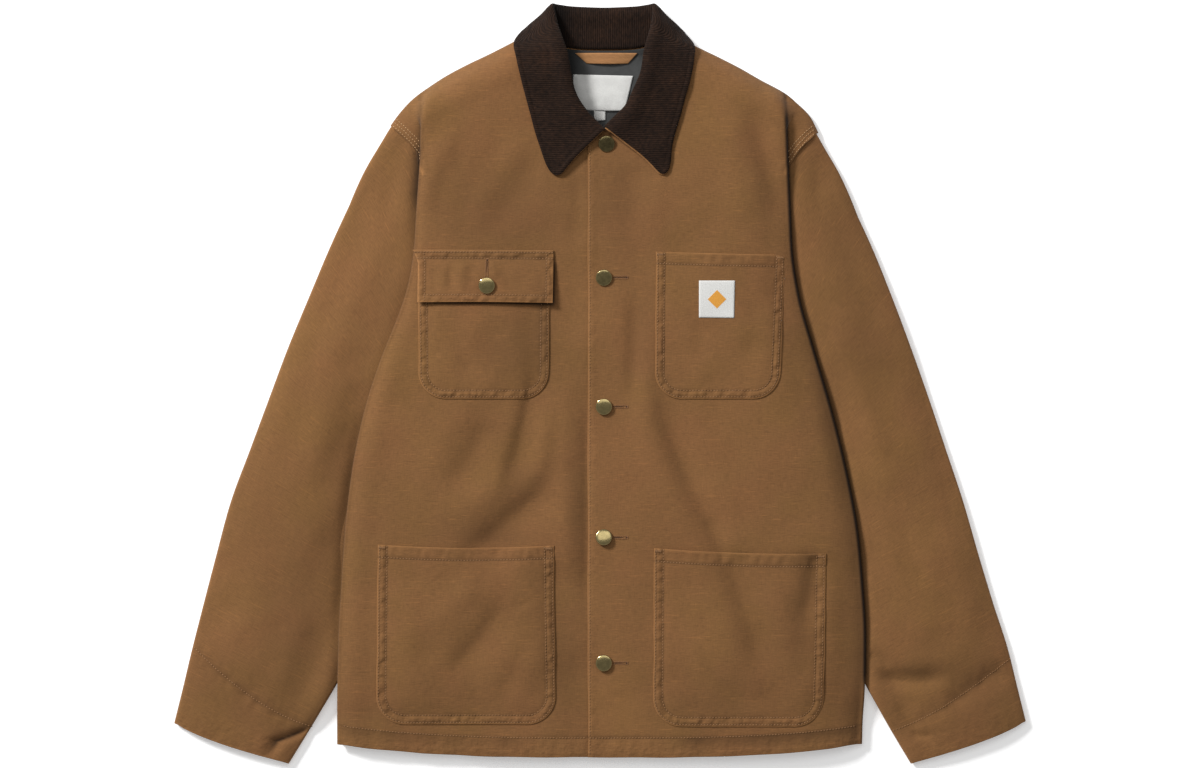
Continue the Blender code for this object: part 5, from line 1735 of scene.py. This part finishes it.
PATCH = {"left": 100.5, "right": 137.0, "top": 105.0, "bottom": 67.0}
DIAMOND_REACH = 9.5


def patch_piece(pocket, finish):
    """The woven patch on the left chest pocket."""
    trees = tree_of(pocket)
    u, v = np.meshgrid(np.linspace(0, 1, 30), np.linspace(0, 1, 30))
    xs = PATCH["left"] + (PATCH["right"] - PATCH["left"]) * u - 0.8 * (1 - v) * u
    ys = PATCH["bottom"] + (PATCH["top"] - PATCH["bottom"]) * v + 0.4 * (1 - u) * (1 - v)
    zs = np.array([[on_top(trees, x, y)[0][Z] for x, y in zip(*row)] for row in zip(xs, ys)])
    rim = np.minimum(np.minimum(u, 1 - u), np.minimum(v, 1 - v)) * 37
    grid = np.stack((xs, ys, zs + 0.2 + LABEL_WALL / 2 - 0.25 * bell(rim, 0.8)), -1)
    return sewn("pocket_patch", "label", grid, LABEL_WALL, finish, (xs, ys), {"edge": bell(rim, 0.7)})


# ---- Topstitching ----

# Rows beside the armhole seam, as distances inside it.
ARMHOLE_ROWS_IN = (1.6, 5.2, 8.8)
# A stitch is a short rod: places along it, as shares of its length, and how thick it is there.
STITCH_PROFILE = ((-0.5, 0.15), (-0.36, 0.85), (0.0, 1.0), (0.36, 0.85), (0.5, 0.15))
STITCH_SIDES = 6
TACK_LENGTH, TACK_PITCH, TACK_STITCHES = 7.0, 0.75, 9
PURL_PITCH = 0.72


def stitch_mesh(name, stitches, finish):
    """Many short stitches as one mesh; each is (centre, way, normal, length, thickness) in millimetres."""
    points, faces = [], []
    for centre, way, normal, length, thick in stitches:
        way = way / np.linalg.norm(way)
        side = np.cross(normal, way)
        side /= np.linalg.norm(side)
        up = np.cross(way, side)
        base = len(points)
        for along, share in STITCH_PROFILE:
            sunk = -0.35 * thick * (1 - share)
            for turn in np.radians(np.arange(0, 360, 360 // STITCH_SIDES)):
                ring = side * math.cos(turn) * 0.5 + up * math.sin(turn) * 0.42
                points.append((centre + way * along * length + ring * thick * share + up * sunk) * MM)
        corners = base + np.arange(STITCH_SIDES)
        for s in range(0, len(points) - base - STITCH_SIDES, STITCH_SIDES):
            a, b = corners + s, np.roll(corners, -1) + s
            faces += np.stack((a, b, b + STITCH_SIDES, a + STITCH_SIDES), -1).tolist()
        faces += [corners[::-1].tolist(), (corners + len(points) - base - STITCH_SIDES).tolist()]
    mesh = bpy.data.meshes.new(name)
    mesh.from_pydata([tuple(p) for p in points], [], faces)
    mesh.shade_smooth()
    mesh.materials.append(finish)
    piece = bpy.data.objects.new(name, mesh)
    bpy.context.scene.collection.objects.link(piece)
    return placed(piece, "canvas")


def even_places(path, pitch):
    """Points at an even pitch along a line in plan, with the way it runs there."""
    path = np.asarray(path, float)
    total = np.concatenate(([0], np.cumsum(np.hypot(*np.diff(path, axis=0).T))))
    spots = np.arange(pitch / 2, total[-1] - pitch * 0.3, pitch)
    here, ahead, behind = (
        np.stack([np.interp(spots + shift, total, path[:, k]) for k in (X, Y)], -1) for shift in (0, 1, -1)
    )
    return here, ahead - behind


def row_of_stitches(trees, path, length, pitch, thick):
    """One row of stitches that lies on the cloth along a line in plan, sunk in a little."""
    found = []
    for number, ((x, y), way) in enumerate(zip(*even_places(path, pitch))):
        try:
            spot, normal = on_top(trees, x, y)
        except ValueError:
            # A line may start or end just outside the cloth.
            continue
        way = np.array((*way, 0.0))
        way -= normal * (way @ normal)
        jitter = 0.12 * math.sin(number * 2.4) + 0.08 * math.sin(number * 5.1)
        side = np.cross(normal, way / np.linalg.norm(way))
        found.append((spot + side * jitter + normal * (thick * 0.5 - 0.12), way, normal, length, thick))
    return found


def bar_tack(trees, x, y):
    """A short dense bar of stitches at a pocket corner."""
    found = []
    for k in range(TACK_STITCHES):
        spot, normal = on_top(trees, x + k * TACK_PITCH - TACK_LENGTH / 2, y)
        found.append((spot + normal * 0.3, np.array((0.0, 1.0, 0.0)), normal, 2.4, 0.6))
    return found


def pocket_rows(name):
    """Plan lines of a pocket's rows: two round the sides and bottom, and the mouth's."""
    at = pocket_table(name)
    lines = [pocket_line(at, inset) for inset in (EDGE_ROW, at["inner"])]
    if at["mouth"]:
        lines.append(mouth_line(at, at["mouth"]))
    return lines


def pocket_line(at, inset):
    """A row round a pocket's sides and bottom, this far inside its edge."""
    radius = at["corner"] - inset
    left, right = at["left_low"] + inset, at["right_low"] - inset
    bottom = at["bottom"] + inset
    turns = np.radians(np.linspace(0, 90, 13))
    line = [(at["left_high"] + inset, at["top_left"] - 0.5)]
    line += [(left + radius * (1 - math.cos(a)), bottom + radius * (1 - math.sin(a))) for a in turns]
    line += [(right - radius * (1 - math.sin(a)), bottom + radius * (1 - math.cos(a))) for a in turns]
    return line + [(at["right_high"] - inset, at["top_right"] - 0.5)]


def mouth_line(at, down):
    """The row below a pocket's open edge."""
    us = np.linspace(0, 1, 15)
    xs = at["left_high"] + (at["right_high"] - at["left_high"]) * us
    tops = at["top_left"] + (at["top_right"] - at["top_left"]) * us - at["dip"] * np.sin(np.pi * us)
    return list(zip(xs, tops - down))


def flap_rows():
    """Plan lines of the flap's rows: two along the top, one inside each side and the bottom."""
    ends = np.linspace(0, 1, 24)
    side, low = FLAP_SIDE_ROW / FLAP_WIDE, FLAP_LOW_ROW / FLAP_HIGH
    places = [(ends, 1 - down / FLAP_HIGH) for down in FLAP_TOP_ROWS]
    places += [(0.04 + ends * 0.92, low), (side, 0.02 + ends * 0.96), (1 - side, 0.02 + ends * 0.96)]
    return [np.stack(flap_plan(u + ends * 0, v + ends * 0), -1) for u, v in places]


def hem_line(low, high):
    """The hem's row between two places."""
    xs = np.linspace(low, high, 90)
    return [(x, hem_y(x) + HEM_ROW) for x in xs]


def armhole_line(side, inset):
    """A row beside the part of the armhole seam that shows, in plan."""
    ys = np.linspace(222, SHOULDER_TIP[side][1], 40)
    seam = np.array([(front_tail(side, y)[-1, 0], y) for y in ys])
    ways = np.gradient(seam, axis=0)
    ways /= np.hypot(*ways.T)[:, None]
    line = seam + np.stack((-ways[:, 1], ways[:, 0]), -1) * inset
    return [(SIGN[side] * x, y) for x, y in line if x > CREASE[side](y) + 0.5 and y < SHOULDER[side](x) - 1]


BUTTON_PLACES = ((6.6, 244.7), (4.0, 108.3), (4.0, -23.1), (4.0, -156.1), (4.0, -284.1))
FLAP_BUTTON_PLACE = (-115.0, 100.0)
# The top button's hole is hidden.
HOLES = [(x + 9.5, y, x + 23.5, y) for x, y in BUTTON_PLACES[1:]]
FLAP_HOLE = (-115.0, 109.5, -114.6, 126.0)


def buttonhole(trees, x1, y1, x2, y2):
    """Purl stitches along both sides of a slit, with a bar at its far end, and the slit between them."""
    start, end = np.array((x1, y1)), np.array((x2, y2))
    length = np.hypot(*(end - start))
    way = (end - start) / length
    across = np.array((-way[1], way[0]))

    def stitch(place, over, way, length, thick):
        spot, normal = on_top(trees, *place)
        return spot + normal * over, np.array((*way, 0.0)), normal, length, thick

    purl = []
    for k in range(int(length / PURL_PITCH) + 1):
        for sign in (-1, 1):
            place = start + way * k * PURL_PITCH + across * sign * 1.25
            purl.append(stitch(place, 0.16, across + way * 0.12 * math.sin(k * 1.7 + sign), 1.7, 0.5))
    for k in range(5):
        purl.append(stitch(end + way * 0.8 + across * (k - 2) * 0.6, 0.2, way, 1.8, 0.55))
    # The slit and the eye are dark rods: painted shade inside the opening.
    slit = stitch((start + end) / 2, 0.05, way, length + 0.6, 0.62)
    eye = stitch(end - way * 0.4, 0.05, way, 2.0, 1.5)
    return purl, [slit, eye]


# ---- Buttons ----

BUTTON_RADIUS = 8.3
# The face from its rim inwards: how far in each ring lies and how much it rises.
BUTTON_DOME = (
    (0.22, 0.2), (0.35, 0.16), (0.6, 0.15), (0.9, 0.17), (1.1, 0.15), (1.2, 0.12), (1.3, 0.08), (1.3, 0.04),
)
# How each front button leans along X and Y, and what share of its rub it keeps, which darkens it as painted
# shade; the top button, under the collar, keeps least.
BUTTON_TILTS = (
    (0.06, -0.24, 0.3), (0.05, -0.15, 0.75), (-0.02, -0.03, 1.0), (-0.02, 0.2, 1.0), (0.04, 0.08, 0.85),
)


def select_faces(piece, test):
    """Selects the faces whose centre and normal pass a test, in edit mode."""
    mesh = bmesh.from_edit_mesh(piece.data)
    for face in mesh.faces:
        face.select_set(test(face.calc_center_median(), face.normal))
    mesh.select_flush_mode()
    bmesh.update_edit_mesh(piece.data)


def brass_button(name, finish):
    """A shank button: one smooth low dome with a rolled rim, on a short neck."""
    bpy.ops.object.select_all(action="DESELECT")
    radius, middle = BUTTON_RADIUS * MM, (0, 0, 1.75 * MM)
    bpy.ops.mesh.primitive_cylinder_add(vertices=72, radius=radius, depth=1.7 * MM, location=middle)
    piece = bpy.context.object
    piece.name = name
    bpy.ops.object.transform_apply(location=True)
    bpy.ops.object.mode_set(mode="EDIT")
    bpy.ops.mesh.select_mode(type="FACE")
    select_faces(piece, lambda centre, normal: normal.z > 0.9)
    for thickness, rise in BUTTON_DOME:
        bpy.ops.mesh.inset(thickness=thickness * MM, depth=rise * MM)
    select_faces(piece, lambda centre, normal: normal.z < -0.9)
    bpy.ops.mesh.inset(thickness=0.7 * MM, depth=0.25 * MM)
    bpy.ops.mesh.inset(thickness=5.2 * MM)
    bpy.ops.mesh.extrude_region_move(TRANSFORM_OT_translate={"value": (0, 0, -0.9 * MM)})
    bpy.ops.object.mode_set(mode="OBJECT")
    bevel = piece.modifiers.new("rounding", "BEVEL")
    bevel.width, bevel.segments, bevel.limit_method = 0.25 * MM, 3, "ANGLE"
    bevel.angle_limit = math.radians(32)
    bpy.ops.object.modifier_apply(modifier=bevel.name)
    bpy.ops.object.shade_smooth_by_angle(angle=math.radians(50))
    rub = piece.data.attributes.new("rub", "FLOAT", "POINT").data
    for number, vertex in enumerate(piece.data.vertices):
        out = math.hypot(*vertex.co[:2]) / MM
        high = vertex.co.z / MM
        rim = 0.5 * math.exp(-(((out - 8.1) / 0.5) ** 2))
        rub[number].value = min(1.0, (0.5 + rim) * (high > 1.6))
    piece.data.materials.append(finish)
    return piece


def set_button(model, name, x, y, trees, tilt, rubbed=1.0):
    """A copy of the button, set on the cloth and tilted as it lies, with its rub scaled by this share as
    painted shade.
    """
    spot, normal = on_top(trees, x, y)
    around = [on_top(trees, x + dx, y + dy)[0][Z] for dx, dy in ((6, 0), (-6, 0), (0, 6), (0, -6))]
    slope = Vector((around[1] - around[0], around[3] - around[2], 12)).normalized()
    lean = Vector((slope.x + tilt[0], slope.y + tilt[1], slope.z)).normalized()
    turn = lean.to_track_quat("Z", "Y").to_matrix().to_4x4()
    height = max(spot[Z], sum(around) / 4) + 0.25
    mesh = model.data.copy()
    mesh.transform(Matrix.Translation(Vector((x, y, height)) * MM) @ turn)
    for point in mesh.attributes["rub"].data:
        point.value *= rubbed
    made = bpy.data.objects.new("brass_" + name, mesh)
    bpy.context.scene.collection.objects.link(made)
    return placed(made, "brass", name)


# ---- The add-on ----


def colour(name, description, default):
    """A colour to set in the panel."""
    return bpy.props.FloatVectorProperty(
        name=name, description=description, subtype="COLOR", size=4, min=0.0, max=1.0, default=(*default, 1.0)
    )


def amount(name, description, default, low=0.0, unit="NONE"):
    """A number to set in the panel."""
    return bpy.props.FloatProperty(name=name, description=description, default=default, min=low, unit=unit)


def length(name, description, default):
    """A length to set in the panel."""
    return bpy.props.FloatProperty(
        name=name, description=description, default=default, min=0.0001, unit="LENGTH", precision=5
    )


class JacketColours(bpy.types.PropertyGroup):
    """Colours of the cloths, threads and buttons."""

    canvas: colour("Canvas", "Body, sleeves, pockets and under collar", (0.194, 0.0918, 0.0322))
    loop: colour("Hanger loop", "The strap inside the neck", (0.34, 0.165, 0.066))
    corduroy: colour("Corduroy", "Face of the collar", (0.0175, 0.0085, 0.0049))
    lining: colour("Neck lining", "Facing inside the back neck", (0.056, 0.057, 0.056))
    label: colour("Labels", "Neck label, size tab and the patch's ground", (0.66, 0.655, 0.63))
    diamond: colour("Diamond", "The mark on the patch", (0.68, 0.30, 0.03))
    thread: colour("Thread", "Topstitching on the canvas", (0.29, 0.15, 0.066))
    hole_thread: colour("Buttonhole thread", "Stitches round the buttonholes", (0.25, 0.118, 0.05))
    pale_thread: colour("Pale thread", "Topstitching beside the armholes", (0.46, 0.275, 0.135))
    slit: colour("Buttonhole slit", "The shade inside a buttonhole", (0.045, 0.018, 0.008))
    brass: colour("Brass", "Buttons", (0.3, 0.238, 0.108))


class JacketSewing(bpy.types.PropertyGroup):
    """Sizes of the stitches, the wales and the buttons."""

    stitch_length: length("Stitch length", "Visible length of one stitch", 0.0021)
    stitch_pitch: length("Stitch pitch", "From one stitch to the next", 0.0031)
    thread_thickness: length("Thread thickness", "How thick a stitch stands", 0.00078)
    wale_pitch: length("Wale pitch", "From one wale of the corduroy to the next", 0.0019)
    button_width: length("Button width", "Across a front button", 0.0166)


class JacketStage(bpy.types.PropertyGroup):
    """Camera, light and floor of the stage."""

    camera_height: length("Camera height", "From the floor up to the camera", 3.415)
    lens: amount("Lens", "Focal length", 100.0, 20.0, "CAMERA")
    key: amount("Key light", "Power of the softbox", 600.0)
    fill: amount("Fill light", "Light from all round", 0.30)
    panel: amount("Overhead panel", "Power of the panel", 30.0)
    floor: colour("Floor", "The pale ground", (0.93, 0.93, 0.93))


def finish(name):
    """A named finish in the scene's colours, made once."""
    if name in bpy.data.materials:
        return bpy.data.materials[name]
    colours, sewing = bpy.context.scene.jacket_colours, bpy.context.scene.jacket_sewing
    centre = ((PATCH["left"] + PATCH["right"]) / 2, (PATCH["bottom"] + PATCH["top"]) / 2)
    makers = {
        "duck_canvas": (make_canvas, "canvas"),
        "loop_canvas": (make_canvas, "loop", 0.4),
        "corduroy_pile": (make_corduroy, "corduroy", sewing.wale_pitch / MM),
        "neck_facing": (make_plain_cloth, "lining", 0.6, 0.14),
        "label_cloth": (make_plain_cloth, "label", 0.5, 0.06, 0.6),
        "patch_cloth": (make_patch_cloth, "label", tuple(colours.diamond[:3]), centre, DIAMOND_REACH),
        "pale_thread": (make_thread, "pale_thread"),
        "brown_thread": (make_thread, "thread"),
        "tan_thread": (make_thread, "hole_thread"),
        "slit_shade": (make_thread, "slit"),
        "antique_brass": (make_brass, "brass"),
    }
    make, base, *sizes = makers[name]
    return make(name, tuple(getattr(colours, base)[:3]), *sizes)


def made(*names):
    """Pieces that are there already. An operator that needs one that isn't stops here."""
    missing = [name for name in names if name not in bpy.data.objects]
    if missing:
        raise RuntimeError(f"make these first: {', '.join(missing)}")
    return [bpy.data.objects[name] for name in names]


def stitched(cloth, lines):
    """Stitches of the chosen size along several lines in plan, on one piece of cloth."""
    sewing = bpy.context.scene.jacket_sewing
    sizes = (sewing.stitch_length, sewing.stitch_pitch, sewing.thread_thickness)
    trees = tree_of(*made("sewn_" + cloth))
    return [found for line in lines for found in row_of_stitches(trees, line, *(size / MM for size in sizes))]


def pocket_tacks(name):
    """Bar tacks at the upper corners of an open pocket."""
    at = pocket_table(name)
    if not at["mouth"]:
        return []
    trees = tree_of(*made("sewn_" + name))
    left = bar_tack(trees, at["left_high"] + 4.5, at["top_left"] - 3.0)
    return left + bar_tack(trees, at["right_high"] - 4.5, at["top_right"] - 3.0)


class JACKET_OT_back(bpy.types.Operator):
    """Lay the back on the ground, with its sides turned up and in"""

    bl_idname = "jacket.back"
    bl_label = "Back"

    def execute(self, context):
        piece = back_piece(finish("duck_canvas"))
        return {"FINISHED"}


class JACKET_OT_sleeves(bpy.types.Operator):
    """Set in both sleeves, each a flat tube"""

    bl_idname = "jacket.sleeves"
    bl_label = "Sleeves"

    def execute(self, context):
        for side in SIGN:
            piece = sleeve_piece(side, finish("duck_canvas"))
        return {"FINISHED"}


class JACKET_OT_fronts(bpy.types.Operator):
    """Lay the two fronts over the back, the placket uppermost"""

    bl_idname = "jacket.fronts"
    bl_label = "Fronts"

    def execute(self, context):
        for side in SIGN:
            piece = front_piece(side, finish("duck_canvas"))
        return {"FINISHED"}


class JACKET_OT_pockets(bpy.types.Operator):
    """Sew on the four patch pockets, the chest flap and the small patch"""

    bl_idname = "jacket.pockets"
    bl_label = "Pockets, flap and patch"

    def execute(self, context):
        under = made("sewn_front_right", "sewn_sleeve_right")
        for name in POCKETS:
            piece = pocket_piece(name, finish("duck_canvas"))
        flap = flap_piece([*under, *made("sewn_chest_pocket_right")], finish("duck_canvas"))
        patch = patch_piece(made("sewn_chest_pocket_left")[0], finish("patch_cloth"))
        return {"FINISHED"}


class JACKET_OT_neck(bpy.types.Operator):
    """Line the back neck, with the hanger loop and the bare labels"""

    bl_idname = "jacket.neck"
    bl_label = "Neck lining, loop and labels"

    def execute(self, context):
        lining = neck_lining_piece(finish("neck_facing"))
        loop = hanger_loop_piece(finish("loop_canvas"))
        label = label_piece("neck_label", LABEL_CORNERS, 1.0, finish("label_cloth"))
        tab = label_piece("size_tab", TAB_CORNERS, 0.4, finish("label_cloth"))
        return {"FINISHED"}


class JACKET_OT_collar(bpy.types.Operator):
    """Turn the collar over its stand: canvas below, corduroy on top"""

    bl_idname = "jacket.collar"
    bl_label = "Collar"

    def execute(self, context):
        apart = (COLLAR_CLOTH + COLLAR_LAYER_GAP) / 2
        for name, offset, cloth, slot in (
            ("under_collar", -apart, "duck_canvas", "canvas"),
            ("collar", apart, "corduroy_pile", "corduroy"),
        ):
            piece = collar_piece(name, offset, finish(cloth), slot)
        return {"FINISHED"}


class JACKET_OT_topstitching(bpy.types.Operator):
    """Run the rows of topstitching and the bar tacks"""

    bl_idname = "jacket.topstitching"
    bl_label = "Topstitching"

    def execute(self, context):
        thread = finish("brown_thread")
        for side, low, high in (("right", -262, -15), ("left", PLACKET_X + 1, 262)):
            front, lines = "front_" + side, [hem_line(low, high)]
            if side == "left":
                lines.append([(PLACKET_X + PLACKET_ROW, y) for y in np.linspace(HEM_Y + 3, 300, 90)])
            seam = [armhole_line(side, inset) for inset in ARMHOLE_ROWS_IN]
            stitch_mesh("stitches_armhole_" + side, stitched(front, seam), finish("pale_thread"))
            stitch_mesh("stitches_front_" + side, stitched(front, lines), thread)
            cuff = [smooth_line(*CUFF_ROWS[side])]
            stitch_mesh("stitches_cuff_" + side, stitched("sleeve_" + side, cuff), thread)
        for name in POCKETS:
            stitch_mesh("stitches_" + name, stitched(name, pocket_rows(name)) + pocket_tacks(name), thread)
        stitch_mesh("stitches_flap", stitched("chest_flap_right", flap_rows()), thread)
        return {"FINISHED"}


class JACKET_OT_buttonholes(bpy.types.Operator):
    """Work the buttonholes in dense stitches round a slit"""

    bl_idname = "jacket.buttonholes"
    bl_label = "Buttonholes"

    def execute(self, context):
        stitches, slits = [], []
        places = [("sewn_front_left", hole) for hole in HOLES] + [("sewn_chest_flap_right", FLAP_HOLE)]
        for cloth, place in places:
            purl, opened = buttonhole(tree_of(*made(cloth)), *place)
            stitches += purl
            slits += opened
        stitch_mesh("buttonhole_stitches", stitches, finish("tan_thread"))
        stitch_mesh("buttonhole_slits", slits, finish("slit_shade"))
        return {"FINISHED"}


class JACKET_OT_buttons(bpy.types.Operator):
    """Model one shank button and set a copy at each buttonhole"""

    bl_idname = "jacket.buttons"
    bl_label = "Buttons"

    def execute(self, context):
        model = brass_button("button_model", finish("antique_brass"))
        share = context.scene.jacket_sewing.button_width / (2 * BUTTON_RADIUS * MM)
        model.data.transform(Matrix.Scale(share, 4))
        trees = tree_of(*made("sewn_front_left", "sewn_collar"))
        for number, (place, (*tilt, rubbed)) in enumerate(zip(BUTTON_PLACES, BUTTON_TILTS), 1):
            set_button(model, f"button_{number}", *place, trees, tilt, rubbed)
        trees = tree_of(*made("sewn_chest_flap_right"))
        set_button(model, "flap_button", *FLAP_BUTTON_PLACE, trees, (0.02, -0.08))
        bpy.data.objects.remove(model)
        return {"FINISHED"}


class JACKET_OT_stage(bpy.types.Operator):
    """Set up the floor, the soft light and the camera"""

    bl_idname = "jacket.stage"
    bl_label = "Stage"

    def execute(self, context):
        settings = context.scene.jacket_stage
        bpy.ops.object.select_all(action="DESELECT")
        bpy.ops.mesh.primitive_plane_add(size=8, location=(0, 0, -0.0005))
        floor = context.object
        floor.name = "floor"
        n = Nodes("floor_paint")
        shade = tuple(settings.floor[:3])
        uneven = n.ramp(n.noise(n.place(), 3), (0.3, shade_of(shade, 0.985)), (0.7, shade))
        n.feed(n.shader.inputs["Base Color"], uneven)
        for name, value in (("Roughness", 0.9), ("Emission Color", (1, 1, 1)), ("Emission Strength", 0.30)):
            n.feed(n.shader.inputs[name], value)
        floor.data.materials.append(n.material)
        world = bpy.data.worlds.new("soft_room")
        world.use_nodes = True
        world.node_tree.nodes["Background"].inputs["Color"].default_value = (1, 1, 1, 1)
        world.node_tree.nodes["Background"].inputs["Strength"].default_value = settings.fill
        context.scene.world = world
        for name, place, size, power in (
            ("softbox", (-4.5, 4.0, 3.8), (1.6, 1.6), settings.key),
            ("overhead_panel", (-0.2, 1.35, 3.5), (3.0, 1.6), settings.panel),
        ):
            bpy.ops.object.light_add(type="AREA", location=place)
            light = context.object
            light.name = name
            light.data.shape, light.data.energy = "RECTANGLE", power
            light.data.size, light.data.size_y = size
            light.rotation_euler = (-light.location).to_track_quat("-Z", "Y").to_euler()
        bpy.ops.object.camera_add(location=(0, 0, settings.camera_height), rotation=(0, 0, 0))
        camera = context.object
        camera.data.lens, camera.data.sensor_width = settings.lens, 36.0
        context.scene.camera = camera
        context.scene.view_settings.view_transform = "Standard"
        return {"FINISHED"}


class JACKET_PT_panel(bpy.types.Panel):
    """Sizes, colours and pieces of the jacket"""

    bl_idname = "JACKET_PT_panel"
    bl_label = "Chore Jacket"
    bl_space_type = "VIEW_3D"
    bl_region_type = "UI"
    bl_category = "Jacket"

    def draw(self, context):
        for title, group in SETTINGS.items():
            box = self.layout.box()
            box.label(text=title)
            settings = getattr(context.scene, group)
            for name in settings.__annotations__:
                box.prop(settings, name)
        for piece in PIECES:
            self.layout.operator(piece.bl_idname)


SETTINGS = {"Colours": "jacket_colours", "Sewing": "jacket_sewing", "Stage": "jacket_stage"}
GROUPS = (JacketColours, JacketSewing, JacketStage)
PIECES = (
    JACKET_OT_back,
    JACKET_OT_sleeves,
    JACKET_OT_fronts,
    JACKET_OT_pockets,
    JACKET_OT_neck,
    JACKET_OT_collar,
    JACKET_OT_topstitching,
    JACKET_OT_buttonholes,
    JACKET_OT_buttons,
    JACKET_OT_stage,
)


def register():
    for kind in (*GROUPS, *PIECES, JACKET_PT_panel):
        bpy.utils.register_class(kind)
    for group, kind in zip(SETTINGS.values(), GROUPS):
        setattr(bpy.types.Scene, group, bpy.props.PointerProperty(type=kind))


def unregister():
    for group in SETTINGS.values():
        delattr(bpy.types.Scene, group)
    for kind in (JACKET_PT_panel, *reversed(PIECES), *reversed(GROUPS)):
        bpy.utils.unregister_class(kind)


def main():
    register()
    bpy.ops.jacket.back()
    bpy.ops.jacket.sleeves()
    bpy.ops.jacket.fronts()
    bpy.ops.jacket.pockets()
    bpy.ops.jacket.neck()
    bpy.ops.jacket.collar()
    bpy.ops.jacket.topstitching()
    bpy.ops.jacket.buttonholes()
    bpy.ops.jacket.buttons()
    bpy.ops.jacket.stage()


if __name__ == "__main__":
    main()
